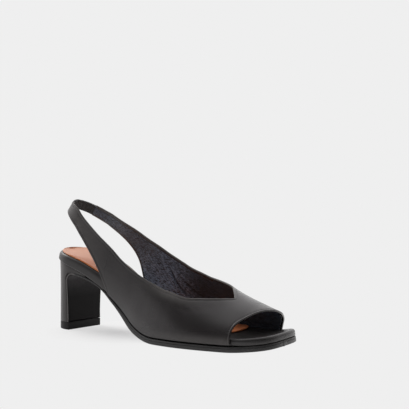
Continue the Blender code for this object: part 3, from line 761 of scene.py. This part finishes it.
# %% Outsole
FLAP_FRONT, SIDEWAYS = HEEL_BREAST + 12.0, 0.7
sole_stations = np.concatenate([
    np.linspace(0.0, BREAST_RISE, 6)[:-1], np.linspace(BREAST_RISE, BREAST_RISE + FILLET_RUN, 17)[:-1],
    np.linspace(BREAST_RISE + FILLET_RUN, FLAP_LENGTH, 25)[:-1],
    FLAP_LENGTH + (SOLE_LENGTH - FLAP_LENGTH) * np.sin(np.linspace(0.0, math.pi / 2, 120))])
sole_half = ([(0.3, 0.0, 0.0), (0.3, 0.5, 0.0), (0.3, 1.0, 0.0), (0.08, 1.0, 0.03), (0.0, 1.0, 0.09)]
             + [(0.0, 1.0, 0.27), (0.28, 1.0, 0.31), (0.28, 1.0, 0.34), (0.0, 1.0, 0.38)]
             + round_corner(0.9, 0.78, 1.0, 5, True) + [(0.9, 0.9, 1.0), (0.9, 0.5, 1.0), (0.9, 0.0, 1.0)])


def breast_painted_light(points):
    """Share of the painted light at the top of the heel breast, where it turns into the arch."""
    height = points[..., 2]
    return smoothstep(height, 30.0, 42.0) * smoothstep(height, 50.0, 45.0)


outsole_bm = slab(sole_stations, sole_width, sole_half, sole_line, sole_height, breast_painted_light)
outsole_bm.normal_update()
for face in outsole_bm.faces:
    if face.calc_center_median().x < FLAP_FRONT:
        face.material_index = 2 if abs(face.normal.y) > SIDEWAYS else 1
sole_leathers = [sole_leather, breast_leather, cover_edge]
finish_piece("outsole_layers", outsole_bm, sole_leathers, "outsole", 32.0)

# %% [markdown]
# ## The heel and its tip
# The heel is a half-round block covered in leather. It could be lofted in one go, but it is cut from a
# flared blank by a prism with the line of the sole, so that the sole fits its breast. The cover's edges are
# then rolled over with a small bevel, and the rolled leather and the edge of the sole's flap show as a fine
# paler line.

# %% Blank of the heel
HEEL_FLARE = 2.2


def heel_blank():
    """Half-round column that flares to the seat, with a solid front."""
    rows, rise = 60, 16
    ring = [(LATERAL, k / rise) for k in range(rise + 1)] + [(MEDIAL, k / rise) for k in range(rise, -1, -1)]
    forward = 1.0 - np.cos(np.linspace(0.0, math.pi / 2, rows + 1))
    points = np.zeros((rows + 1, len(ring), 3))
    for j, (side, level) in enumerate(ring):
        behind = (BLANK_FRONT - HEEL_INSET) * forward
        top_x, top_z, _ = shank_point(HEEL_INSET + behind, SEAM_GAP)
        top_y = np.maximum(0.0, half_width(behind, side) - HEEL_INSET * np.minimum(1.0, behind / 6.0))
        low_x = BLANK_FRONT * forward
        low_y = np.sqrt(HEEL_RADIUS**2 - np.maximum(0.0, HEEL_RADIUS - low_x) ** 2)
        low_z = TOP_PIECE + SEAM_GAP
        flare = level**HEEL_FLARE
        points[:, j] = np.stack([low_x + (top_x - low_x) * flare, side * (low_y + (top_y - low_y) * flare),
                                 low_z + (top_z - low_z) * level], axis=1)
    return wrapped_grid(points)


# %% Cutter of the heel breast
CUT_LOW, CUT_SIDE, CUT_AHEAD = -5.0, 40.0, 30.0


def breast_cutter():
    """Prism under the arch and in front of the heel breast."""
    x, z, heading = sole_line(sole_stations[sole_stations <= FLAP_LENGTH])
    line = list(zip(x - SEAM_GAP * np.sin(heading), z + SEAM_GAP * np.cos(heading)))
    line[0] = (line[0][0], CUT_LOW)
    far_x = line[-1][0] + CUT_AHEAD
    far_z = line[-1][1] + CUT_AHEAD * math.tan(math.radians(SHANK_HEADING))
    line += [(far_x, far_z), (far_x, CUT_LOW)]
    made = bmesh.new()
    face = made.faces.new([made.verts.new((px, -CUT_SIDE, pz)) for px, pz in line])
    grown = bmesh.ops.extrude_face_region(made, geom=[face])
    moved = [item for item in grown["geom"] if isinstance(item, bmesh.types.BMVert)]
    bmesh.ops.translate(made, vec=Vector((0.0, 2 * CUT_SIDE, 0.0)), verts=moved)
    bmesh.ops.recalc_face_normals(made, faces=made.faces)
    return made


# %% Heel
COVER_ROLL, CORNER_ANGLE, ROLL_FROM = 0.35, 40.0, TOP_PIECE + 2.0


def cut(blank, cutter):
    """Blank less the cutter, both bmeshes, as a new bmesh."""
    bodies = []
    for name, made in (("blank", blank), ("cutter", cutter)):
        bmesh.ops.recalc_face_normals(made, faces=made.faces)
        bodies.append(add_object(name, to_mesh(name, made)))
    boolean = bodies[0].modifiers.new("cut", "BOOLEAN")
    boolean.operation, boolean.solver, boolean.object = "DIFFERENCE", "EXACT", bodies[1]
    result = bmesh.new()
    result.from_object(bodies[0], bpy.context.evaluated_depsgraph_get())
    for body in bodies:
        bpy.data.objects.remove(body, do_unlink=True)
    return result


heel_bm = cut(heel_blank(), breast_cutter())
corners = [edge for edge in heel_bm.edges
           if len(edge.link_faces) == 2 and edge.calc_face_angle() > math.radians(CORNER_ANGLE)]
rolled = bmesh.ops.bevel(heel_bm, geom=corners, offset=COVER_ROLL, offset_type="OFFSET", segments=3,
                         profile=0.5, affect="EDGES", clamp_overlap=True, material=-1)
for face in rolled["faces"]:
    face.material_index = int(face.calc_center_median().z > ROLL_FROM)
finish_piece("heel_covered", heel_bm, [cover, cover_edge], "heel", 32.0)

# %% [markdown]
# The tip is the half-round rubber slab nailed under the heel. A cylinder cut in half would do, but drawn as
# rows round the half circle it gets a worn lower edge and a fine groove where it meets the heel.

# %% Heel tip
TIP_SECTION = (
    # inset, height
    (0.5, 0.0), (0.25, 0.07), (0.07, 0.25), (0.0, 0.5), (0.0, 3.0), (0.0, 5.85), (0.08, 6.15), (0.3, TOP_PIECE),
)


def heel_tip():
    """Half-round rubber slab under the heel and the foot of the sole flap."""
    rows, front = 48, HEEL_BREAST + SEAM_GAP + SHANK_SOLE
    ring = [(LATERAL, *row) for row in TIP_SECTION] + [(MEDIAL, *row) for row in TIP_SECTION[::-1]]
    turn = np.append(np.linspace(0.0, math.pi / 2, rows), math.pi / 2)
    points = np.zeros((rows + 1, len(ring), 3))
    for j, (side, inset, z) in enumerate(ring):
        radius = HEEL_RADIUS - inset
        x = HEEL_RADIUS - radius * np.cos(turn)
        x[-1] = front - inset * 0.6
        points[:, j] = np.stack([x, side * radius * np.sin(turn), np.full(rows + 1, z)], axis=1)
    return wrapped_grid(points)


finish_piece("heel_tip_rubber", heel_tip(), [rubber], "heel_tip", 45.0)

# %% [markdown]
# ## The upper
# The upper is one strip of leather from the strap end on the outer side, round the open toe and back along
# the inner side. Leather and lining are 1.8 mm together. Along every free edge the leather is folded in
# over the lining, so the edge is round, a shallow trough lies under the stitches 2 mm from it, and inside
# the fold ends in a small step. A sheet with a thickness modifier would have none of that. Here both faces
# are drawn point by point, from the distance of each point to the free edges.

# %% Rows, columns and distances from the edges
EDGE_STOPS = (0.0, 0.15, 0.4, 0.75, 1.15, 1.55, 1.9, 2.25, 2.7, 3.4, 4.2)
MIDDLE_CELLS, ROW_PITCH = 40, 1.2


def row_numbers():
    """Row numbers of the upper, close enough that no cell is longer than the pitch."""
    rows = [0.0]
    for row in range(LAST_ROW):
        fine = row + np.linspace(0.0, 1.0, 13)
        length = max(np.linalg.norm(np.diff(upper_points(fine, np.full(13, rise)), axis=0), axis=1).sum()
                     for rise in (0.0, 1.0))
        count = max(4, math.ceil(length / ROW_PITCH))
        rows += [row + (k + 1) / count for k in range(count)]
    return np.array(rows)


def distance_to(points, line):
    """Distance from each point to a line through points."""
    start, step = line[:-1], np.diff(line, axis=0)
    nearest = np.full(points.shape[:-1], 1e9)
    for a, b in zip(start, step):
        share = np.clip(((points - a) @ b) / (b @ b), 0.0, 1.0)
        nearest = np.minimum(nearest, np.linalg.norm(points - a - share[..., None] * b, axis=-1))
    return nearest


upper_rows = row_numbers()
sample = np.linspace(0.0, 1.0, 61)
spans = upper_points(*np.meshgrid(upper_rows, sample, indexing="ij"))
lengths = np.cumsum(np.linalg.norm(np.diff(spans, axis=1), axis=2), axis=1)
rises = []
for length in lengths:
    total, margin = length[-1], EDGE_STOPS[-1]
    stops = np.concatenate([EDGE_STOPS, np.linspace(margin, total - margin, MIDDLE_CELLS + 1)[1:-1],
                            total - np.array(EDGE_STOPS[::-1])])
    rises.append(np.interp(stops, np.concatenate([[0.0], length]), sample))
rises = np.array(rises)
outer = upper_points(np.repeat(upper_rows[:, None], rises.shape[1], axis=1), rises)
columns = outer.shape[1]
print("upper grid:", outer.shape[:2], " shortest row, mm:", round(float(lengths[:, -1].min()), 1))

# %% Edge profile
EDGE_RADIUS, STITCH_LINE, TOE_STITCH_LINE = 0.6, 2.1, 1.7
TROUGH_DEPTH, TROUGH_WIDTH, TOE_TROUGH_DEPTH, TOE_TROUGH_WIDTH = 0.16, 0.45, 0.14, 0.4
FOLD_RISE, FOLD_RUNS_OUT, TOE_FOLD_RISE, TOE_FOLD_RUNS_OUT = 0.14, (2.6, 1.5), 0.1, (1.7, 0.8)


def surface_normals(points, axis, sign):
    """Unit normals of a grid of points, turned so that the middle one has the sign along the axis."""
    normal = np.cross(np.gradient(points, axis=0), np.gradient(points, axis=1))
    normal /= np.linalg.norm(normal, axis=2)[..., None]
    middle = normal[points.shape[0] // 2, points.shape[1] // 2, axis]
    return normal if middle * sign > 0 else -normal


def bell(value, middle, width):
    """Share that is 1 in the middle and fades on both sides."""
    return np.exp(-(((value - middle) / width) ** 2))


normals = surface_normals(outer, 2, 1)
free_lines = [outer[:, -1]]
for first, last in ((0, LATERAL_FOOT), (TOE_LATERAL, TOE_MEDIAL), (MEDIAL_FOOT, LAST_ROW)):
    inside = (upper_rows >= first) & (upper_rows <= last)
    free_lines.append(outer[inside, 0])
to_edge = np.min([distance_to(outer, line) for line in free_lines], axis=0)
to_end = np.minimum(distance_to(outer, outer[0]), distance_to(outer, outer[-1]))
to_rim = np.minimum(to_edge, to_end)
to_toe = distance_to(outer, free_lines[2])
off_toe = smoothstep(to_toe, 2.0, 6.0)
inside_radius = np.maximum(0.0, EDGE_RADIUS - to_rim)
roll = EDGE_RADIUS - np.sqrt(np.maximum(0.0, EDGE_RADIUS**2 - inside_radius**2))
trough = TROUGH_DEPTH * off_toe * bell(to_edge, STITCH_LINE, TROUGH_WIDTH)
trough = trough + TOE_TROUGH_DEPTH * bell(to_toe, TOE_STITCH_LINE, TOE_TROUGH_WIDTH)
band = FOLD_RISE * smoothstep(to_edge, *FOLD_RUNS_OUT) * off_toe
band = band + TOE_FOLD_RISE * smoothstep(to_toe, *TOE_FOLD_RUNS_OUT)
print("edge roll, mm:", round(float(roll.max()), 2), " trough, mm:", round(float(trough.max()), 2))

# %% [markdown]
# Creases are placed one by one, as they show in the photo: the lining of the inner side has a family of
# slanting folds where the quarter bends, and the outer side has a few faint ones under the topline near the
# throat. A cloth simulation would put them anywhere. Each is a soft trough with a ridge beside it, given by
# two points in the side view.

# %% Creases
LINING_CREASES = (
    # x and z of its two ends, half-width, depth
    (97.0, 52.8, 111.2, 32.0, 1.1, 0.80), (93.6, 59.6, 109.2, 35.0, 1.3, 0.42),
    (103.2, 50.4, 117.6, 39.0, 1.1, 0.45), (110.8, 43.2, 126.8, 31.8, 1.2, 0.35),
    (84.4, 64.0, 98.4, 40.0, 1.6, 0.26), (73.0, 59.0, 91.4, 35.4, 1.8, 0.20),
    (105.5, 54.5, 122.0, 43.0, 1.1, 0.25), (89.0, 56.0, 101.0, 37.0, 1.2, 0.20),
)
VAMP_CREASES = (
    (134.0, 38.5, 150.0, 27.5, 1.6, 0.09), (141.0, 37.2, 159.0, 26.0, 1.8, 0.10),
    (149.0, 36.4, 166.0, 27.8, 1.8, 0.08), (158.0, 36.0, 176.0, 29.2, 2.0, 0.06),
    (126.0, 41.0, 140.0, 29.0, 1.8, 0.05),
)
CREASE_BOW, CREASE_STARTS, CREASE_ENDS = 0.05, (-0.15, 0.3), (1.15, 0.7)
RIDGE_HEIGHT, RIDGE_PLACE, SIDES_FROM = 0.45, 1.9, 8.0


def creased(points, creases):
    """Depth of the creases at points: soft troughs that run out at both ends, with a low ridge on each side."""
    depth = np.zeros(points.shape[:-1])
    for x0, z0, x1, z1, width, deep in creases:
        step = np.array([x1 - x0, z1 - z0])
        length = np.linalg.norm(step)
        along = ((points[..., 0] - x0) * step[0] + (points[..., 2] - z0) * step[1]) / length
        bow = CREASE_BOW * length * np.sin(np.pi * np.clip(along / length, 0.0, 1.0))
        across = ((points[..., 0] - x0) * step[1] - (points[..., 2] - z0) * step[0]) / length - bow
        run = along / length
        fade = smoothstep(run, *CREASE_STARTS) * smoothstep(run, *CREASE_ENDS)
        share = across / width
        ridges = RIDGE_HEIGHT * bell(np.abs(share), RIDGE_PLACE, 1.0)
        depth += deep * fade * (bell(share, 0.0, 1.0) - ridges)
    return depth


x, y, z = np.moveaxis(outer, -1, 0)
lining_depth = creased(outer, LINING_CREASES) * (y > SIDES_FROM) * smoothstep(to_edge, 1.5, 5.0)
vamp_depth = creased(outer, VAMP_CREASES) * (y < -SIDES_FROM) * smoothstep(to_edge, 2.0, 6.0)
print("deepest lining crease, mm:", round(float(lining_depth.max()), 2))

# %% [markdown]
# Black calf isn't evenly black. Its folded edges are polished. Beside that the calf has painted light: a
# painted highlight under the outer topline near the throat, painted light on the outer strap, and a painted
# reflection of the floor in a band above the sole. The lining has painted light, most low down at the quarters,
# and painted shade in its creases. Painted images would do, but shares worked out from the same distances
# follow the edges exactly. They are kept in two vertex layers that the materials read.

# %% Polish, painted light and painted shade
EDGE_TONE, PAINTED_HIGHLIGHT_TONE, PAINTED_REFLECTION_TONE, STRAP_PAINTED_LIGHT_TONE = 0.5, 0.9, 0.5, 0.45
PAINTED_HIGHLIGHT_MIDDLE, PAINTED_HIGHLIGHT_LENGTH, PAINTED_HIGHLIGHT_DEPTH = 136.0, 22.0, 5.0
PAINTED_REFLECTION_LEVEL, PAINTED_REFLECTION_WIDTH = 8.0, 3.2
THROAT_ROW, THROAT_ROWS, THROAT_SHARE = 16.6, 1.3, 0.8
LINING_LIGHT_LEAST, LINING_LIGHT_MOST, LINING_LIGHT_LOW, CREASE_SHADE = 0.10, 2.4, 1.6, 1.4
PAINTED_REFLECTION_FROM, STRAP_PAINTED_LIGHT_FROM = (100.0, 180.0), (75.0, 35.0)
LINING_LIGHT_FRONT, LINING_LIGHT_TOP, LINING_LIGHT_FOOT, LINING_LIGHT_TOP_LOSS = (128.0, 88.0), (52.0, 78.0), (58.0, 36.0), 0.9
FOLD = 2.0
clear_of_toe = smoothstep(to_toe, 1.5, 6.0)
edge_light = bell(to_edge, 0.0, 0.4) * clear_of_toe
# Painted highlight: a paler band of the calf under the outer topline near the throat.
painted_highlight = bell(x, PAINTED_HIGHLIGHT_MIDDLE, PAINTED_HIGHLIGHT_LENGTH) * bell(to_edge, 0.0, PAINTED_HIGHLIGHT_DEPTH) * (y < -4.0)
# Painted reflection of the floor: a paler band of the calf just above the sole, growing towards the toe.
painted_reflection = bell(z, PAINTED_REFLECTION_LEVEL, PAINTED_REFLECTION_WIDTH) * smoothstep(x, *PAINTED_REFLECTION_FROM)
# Painted light on the outer strap, paler towards the heel.
strap_painted_light = smoothstep(x, *STRAP_PAINTED_LIGHT_FROM) * (y < 0.0)
light = EDGE_TONE * edge_light + PAINTED_HIGHLIGHT_TONE * painted_highlight + PAINTED_REFLECTION_TONE * painted_reflection + STRAP_PAINTED_LIGHT_TONE * strap_painted_light
by_throat = THROAT_SHARE * bell(upper_rows, THROAT_ROW, THROAT_ROWS)[:, None]
fold_light = bell(to_edge, 0.0, 1.1) * clear_of_toe * (1.0 - by_throat) + by_throat * bell(to_edge, FOLD, 0.3)
# Painted light on the lining, most low down at the quarters and less towards the top and the toe, with painted
# shade in the creases.
lining_painted_light_and_shade = smoothstep(x, *LINING_LIGHT_FRONT) * (1.0 - LINING_LIGHT_TOP_LOSS * smoothstep(z, *LINING_LIGHT_TOP))
lining_painted_light_and_shade = lining_painted_light_and_shade * (1.0 + LINING_LIGHT_LOW * smoothstep(z, *LINING_LIGHT_FOOT))
lining_painted_light_and_shade = np.clip(lining_painted_light_and_shade + LINING_LIGHT_LEAST - CREASE_SHADE * lining_depth, 0.0, LINING_LIGHT_MOST)
palest = [round(float(share.max()), 2) for share in (light, lining_painted_light_and_shade)]
print("palest share of the calf and of the lining:", palest)

# %% Upper
FOLD_STEP = 0.25


def there_and_back(there, back):
    """Ring of columns that goes over one face and returns over the other."""
    return np.concatenate([there, back[:, ::-1]], axis=1)


face_out = outer + normals * (band - roll - trough - vamp_depth)[..., None]
wall = UPPER_WALL - FOLD_STEP * smoothstep(to_edge, FOLD + 0.35, FOLD - 0.1) - roll
face_in = outer - normals * (wall - lining_depth)[..., None]
is_lining = there_and_back(np.zeros(to_edge.shape, int), (to_edge > FOLD + 0.1).astype(int))
# Both layers carry painted light: the calf has a painted highlight, a painted reflection and painted strap
# light beside its edge polish, and the lining has painted light and painted crease shade.
upper_layers = {"polish_and_painted_light": there_and_back(light, fold_light), "lining_painted_light_and_shade": there_and_back(lining_painted_light_and_shade, lining_painted_light_and_shade)}
upper_bm = wrapped_grid(there_and_back(face_out, face_in), upper_layers, is_lining[:-1])
for face in upper_bm.faces:
    if len(face.verts) > 4:
        face.material_index = 1
finish_piece("upper_leather", upper_bm, [calf, lining], "upper", 50.0)

# %% [markdown]
# ## The elastic at the back
# A short length of ribbed elastic joins the two strap ends behind the heel. It is thinner than the leather
# and goes into the fold of the strap ends. Its ribs run along it. They could be modelled, but they are far
# under a millimetre, so the material takes them from where each point lies across and along the tape.

# %% Elastic
ELASTIC_WALL, ELASTIC_INSET = 1.3, 0.1
ELASTIC_LATERAL, ELASTIC_MEDIAL = np.array((0.396, 0.204)), np.array((0.463, 0.237))
TAPE_WIDTH, TAPE_LENGTH = 10.0, 60.0


def elastic_material():
    """Ribbed elastic, paler on its ribs."""
    material, tree, shader = new_material("ribbed_elastic")
    place = {"Across": vertex_layer(tree, "across_tape"), "Along": vertex_layer(tree, "along_tape")}
    ribs = group_node(tree, RIBS, **place).outputs["Height"]
    colour = mixed(tree, ribs, (0.010, 0.010, 0.011, 1.0), (0.022, 0.021, 0.021, 1.0))
    tree.links.new(colour, shader.inputs["Base Color"])
    shader.inputs["Roughness"].default_value = 0.62
    add_relief(tree, shader, ribs, 0.00012)
    return material


along, rise = np.meshgrid(np.linspace(0.0, 1.0, 81), np.linspace(0.0, 1.0, 21), indexing="ij")
turn = 2.0 * along - 1.0
back = HEEL_AXIS - BACK_RUN
station = back + np.abs(turn) * (np.where(turn > 0, MEDIAL_END, LATERAL_END) - 0.05 - back)
low, high = (ELASTIC_LATERAL[k] * (1.0 - along) + ELASTIC_MEDIAL[k] * along for k in (0, 1))
tape = last_points(station, np.where(turn > 0, 1.0, -1.0) * (low + (high - low) * rise))
tape_normal = surface_normals(tape, 0, -1)
tape_ring = there_and_back(tape - tape_normal * ELASTIC_INSET, tape - tape_normal * ELASTIC_WALL)
tape_layers = {"across_tape": there_and_back(rise, rise) * TAPE_WIDTH,
               "along_tape": there_and_back(along, along) * TAPE_LENGTH}
tape_bm = wrapped_grid(tape_ring, tape_layers)
finish_piece("elastic_tape", tape_bm, [elastic_material()], "elastic", 50.0)

# %% [markdown]
# ## Stitches
# Fine black thread holds the folds. A dashed bump would be lighter, but real beads keep their outline up
# close, so each stitch is a small flattened bead, laid in the trough 2 mm from the edge and turned along
# it. Outside they follow the toplines, the rear edges and the toe opening, and inside the rear edge of the
# inner quarter, where they catch the light as a row of dots.

# %% Stitches
STITCH_PITCH, STITCH_SIZE = 2.4, (1.7, 0.42, 0.26)
STITCH_AHEAD, STITCH_LIFT = 0.8, 0.02


def seam(rows, low_edge, inner):
    """Points and normals of a seam line at the stitch distance from the lower or upper edge."""
    picked = (upper_rows >= rows[0]) & (upper_rows <= rows[1])
    face = face_in if inner else face_out
    gap = distance_to(outer[picked], outer[picked, 0] if low_edge else outer[picked, -1])
    line, up = [], []
    for k, i in enumerate(np.flatnonzero(picked)):
        order = range(columns) if low_edge else range(columns - 1, -1, -1)
        j = next(j for j in order if gap[k, j] >= STITCH_LINE)
        line.append(face[i, j])
        up.append(normals[i, j] * (-1.0 if inner else 1.0))
    return np.array(line), np.array(up)


def add_stitches(made, line, up):
    """Beads along a line, one each pitch."""
    run = np.concatenate([[0.0], np.cumsum(np.linalg.norm(np.diff(line, axis=0), axis=1))])

    def at(distance, values):
        return Vector([np.interp(distance, run, values[:, axis]) for axis in range(3)])

    for distance in np.arange(STITCH_PITCH, run[-1] - STITCH_PITCH, STITCH_PITCH):
        spot, out = at(distance, line), at(distance, up).normalized()
        ahead = at(distance + STITCH_AHEAD, line) - spot
        ahead = (ahead - out * ahead.dot(out)).normalized()
        turn = Matrix((ahead, out.cross(ahead), out)).transposed().to_4x4()
        place = Matrix.Translation(spot + out * STITCH_LIFT) @ turn @ Matrix.Diagonal((*STITCH_SIZE, 1.0))
        bmesh.ops.create_uvsphere(made, u_segments=8, v_segments=5, radius=0.5, matrix=place)


SEAMS = (
    # first and last row, on the lower edge, on the inner face
    ((0.3, V_TIP - 0.3), False, False), ((V_TIP + 0.3, LAST_ROW - 0.3), False, False),
    ((0.3, LATERAL_FOOT - 0.3), True, False), ((TOE_LATERAL + 0.2, TOE_MEDIAL - 0.2), True, False),
    ((MEDIAL_FOOT + 0.3, LAST_ROW - 0.3), True, False), ((MEDIAL_FOOT + 0.3, LAST_ROW - 0.3), True, True),
)
stitch_bm = bmesh.new()
for rows, low_edge, inner in SEAMS:
    add_stitches(stitch_bm, *seam(rows, low_edge, inner))
finish_piece("edge_stitches", stitch_bm, [thread])

# %% [markdown]
# ## Stage, light and camera
# The shoe stands on a pale sweep, a sheet of paper that rises behind it, so there is no horizon. A plain
# floor and a wall would show a line. The paper glows evenly to the camera, with a soft shadow under the arch
# that is partly cast on its lit base and partly painted into its glow, and lights the shoe most from in front
# of the toe.

# %% Paper
BLACK, WHITE, PAPER_GLOW = (0.0, 0.0, 0.0, 1.0), (1.0, 1.0, 1.0, 1.0), (0.863, 0.863, 0.863, 1.0)
ARCH, ARCH_REACH = (-0.05, 0.0, 0.0), 0.07
PAPER_BASE, ARCH_BASE, ARCH_SHADE = 0.8, 0.5, 0.55
GLOW_AT_ORIGIN, GLOW_ALONG, GLOW_LEAST, GLOW_MOST, GLOW_RISE = 0.45, 1.6, 0.1, 0.8, 2.0


def paper():
    """Paper that is even to the eye, with a soft shadow under the arch, partly cast and partly painted into its
    glow, and lights the shoe most at the toe.
    """
    material, tree, shader = new_material("pale_paper")
    place = tree.nodes.new("ShaderNodeTexCoord").outputs["Object"]
    seen = tree.nodes.new("ShaderNodeLightPath").outputs["Is Camera Ray"]
    away = tree.nodes.new("ShaderNodeVectorMath")
    away.operation = "DISTANCE"
    tree.links.new(place, away.inputs[0])
    away.inputs[1].default_value = ARCH
    far = math_node(tree, "MINIMUM", math_node(tree, "DIVIDE", away.outputs["Value"], ARCH_REACH), 1.0)
    near_arch = math_node(tree, "MULTIPLY", math_node(tree, "SUBTRACT", 1.0, far), seen)
    base = math_node(tree, "MULTIPLY_ADD", seen, -PAPER_BASE, PAPER_BASE)
    base = math_node(tree, "MULTIPLY_ADD", near_arch, ARCH_BASE, base)
    tree.links.new(mixed(tree, base, BLACK, WHITE), shader.inputs["Base Color"])
    spot = tree.nodes.new("ShaderNodeSeparateXYZ")
    tree.links.new(place, spot.inputs["Vector"])
    lit = math_node(tree, "MULTIPLY_ADD", spot.outputs["X"], GLOW_ALONG, GLOW_AT_ORIGIN)
    lit = math_node(tree, "MAXIMUM", math_node(tree, "MINIMUM", lit, GLOW_MOST), GLOW_LEAST)
    lit = math_node(tree, "MULTIPLY_ADD", spot.outputs["Z"], GLOW_RISE, lit)
    lit = math_node(tree, "MINIMUM", math_node(tree, "MAXIMUM", seen, lit), 1.0)
    # Painted shadow: the glow seen by the camera is dimmed under the arch.
    lit = math_node(tree, "MULTIPLY_ADD", near_arch, -ARCH_SHADE, lit)
    tree.links.new(mixed(tree, lit, BLACK, PAPER_GLOW), shader.inputs["Emission Color"])
    for label, value in (("Emission Strength", 1.0), ("Roughness", 0.9), ("Specular IOR Level", 0.0)):
        shader.inputs[label].default_value = value
    return material


# %% Sweep
CAMERA_TURN = 36.201
SWEEP_FRONT, SWEEP_RUN, SWEEP_WIDTH, BEND_AT, BEND_RADIUS = -2.5, 6.0, 7.0, 1.5, 0.9


def sweep():
    """Sheet of paper that lies in front, bends up behind and stands square to the camera."""
    made = bmesh.new()
    bmesh.ops.create_grid(made, x_segments=2, y_segments=48, size=0.5)
    away = Vector((-math.sin(math.radians(CAMERA_TURN)), math.cos(math.radians(CAMERA_TURN)), 0.0))
    side = Vector((away.y, -away.x, 0.0))
    for vertex in made.verts:
        far = SWEEP_FRONT + SWEEP_RUN * (vertex.co.y + 0.5)
        bend = min(max(0.0, far - BEND_AT) / BEND_RADIUS, math.pi / 2)
        rise = BEND_RADIUS * (1 - math.cos(bend)) + max(0.0, far - BEND_AT - BEND_RADIUS * math.pi / 2)
        ahead = min(far, BEND_AT) + BEND_RADIUS * math.sin(bend)
        vertex.co = away * ahead + side * vertex.co.x * SWEEP_WIDTH + Vector((0.0, 0.0, rise))
    mesh = to_mesh("sweep", made)
    mesh.shade_smooth()
    mesh.materials.append(paper())
    return add_object("sweep", mesh)


floor = sweep()
print("sweep faces:", len(floor.data.polygons))

# %% [markdown]
# Black calf shows mostly what it mirrors, so the light is shaped like a studio's: one large soft box
# overhead and a lower one behind the heel, in a surround that is brightest above and behind the heel. Two
# dark flags on the camera's side draw the deep tone under the highlight of the vamp. An even bright sky
# would be simpler, but it turns the whole side grey.

# %% Light
LIGHTS = (
    # name, place, target, size, power, colour
    ("overhead", (-0.35, 0.75, 1.15), (0.0, 0.0, 0.0), (1.6, 1.2), 2.4, (1.0, 0.975, 0.98)),
    ("heel_side", (-0.95, 0.2, 0.9), (-0.05, 0.0, 0.04), (0.7, 0.7), 5.0, (1.0, 0.975, 0.95)),
)
for name, place, target, size, power, colour in LIGHTS:
    data = bpy.data.lights.new(name, "AREA")
    data.shape, data.size, data.size_y, data.energy, data.color = "RECTANGLE", *size, power, colour
    lamp = add_object(name, data)
    lamp.location = place
    lamp.rotation_euler = (Vector(target) - Vector(place)).to_track_quat("-Z", "Y").to_euler()
print("lamps:", [row[0] for row in LIGHTS])

# %% Surround
SURROUND, SURROUND_LEVEL, SURROUND_LEAST = (-0.65, 0.25, 0.70), 0.48, 0.05
SURROUND_TINT = (1.0, 0.972, 0.985, 1.0)
FLAGS = (
    # direction, where it starts, softness, strength
    ((0.5, -0.75, 0.35), 0.48, 0.25, 0.7),
    ((-0.36, -0.66, 0.66), 0.915, 0.065, 0.68),
)
world = bpy.data.worlds.new("studio")
world.use_nodes = True
studio = world.node_tree
around = studio.nodes.new("ShaderNodeTexCoord")
facing = studio.nodes.new("ShaderNodeSeparateXYZ")
studio.links.new(around.outputs["Generated"], facing.inputs["Vector"])


def along_direction(shares, start):
    """Value that grows along a direction of the surround."""
    value = start
    for axis, share in zip("XYZ", shares):
        value = math_node(studio, "MULTIPLY_ADD", facing.outputs[axis], share, value)
    return value


glow = math_node(studio, "MAXIMUM", along_direction(SURROUND, SURROUND_LEVEL), SURROUND_LEAST)
for direction, begins, softness, strength in FLAGS:
    reach = math_node(studio, "MAXIMUM", along_direction(direction, -begins), 0.0)
    flag = math_node(studio, "MINIMUM", math_node(studio, "DIVIDE", reach, softness), 1.0)
    glow = math_node(studio, "MULTIPLY", glow, math_node(studio, "MULTIPLY_ADD", flag, -strength, 1.0))
seen = studio.nodes.new("ShaderNodeLightPath").outputs["Is Camera Ray"]
unseen = math_node(studio, "SUBTRACT", 1.0, seen)
backdrop = studio.nodes["Background"]
studio.links.new(math_node(studio, "MULTIPLY_ADD", glow, unseen, seen), backdrop.inputs["Strength"])
studio.links.new(mixed(studio, seen, SURROUND_TINT, PAPER_GLOW), backdrop.inputs["Color"])
bpy.context.scene.world = world
bpy.context.scene.view_settings.view_transform = "Standard"
print("flags in the surround:", len(FLAGS))

# %% [markdown]
# The camera stands almost level with the strap, at the outer front quarter of the shoe. It aims to the
# right of the shoe, because the framing of the photo leaves room there. A shifted lens could do the same,
# but then the shoe would leave the picture in views from other sides.

# %% Camera
camera_data = bpy.data.cameras.new("camera")
camera_data.sensor_width, camera_data.lens = 36.0, 87.293
camera = add_object("camera", camera_data)
camera.location = (0.50068, -0.63436, 0.12386)
camera.rotation_euler = [math.radians(angle) for angle in (88.921, -0.441, CAMERA_TURN)]
bpy.context.scene.camera = camera
print("camera distance, m:", round(camera.location.length, 3))
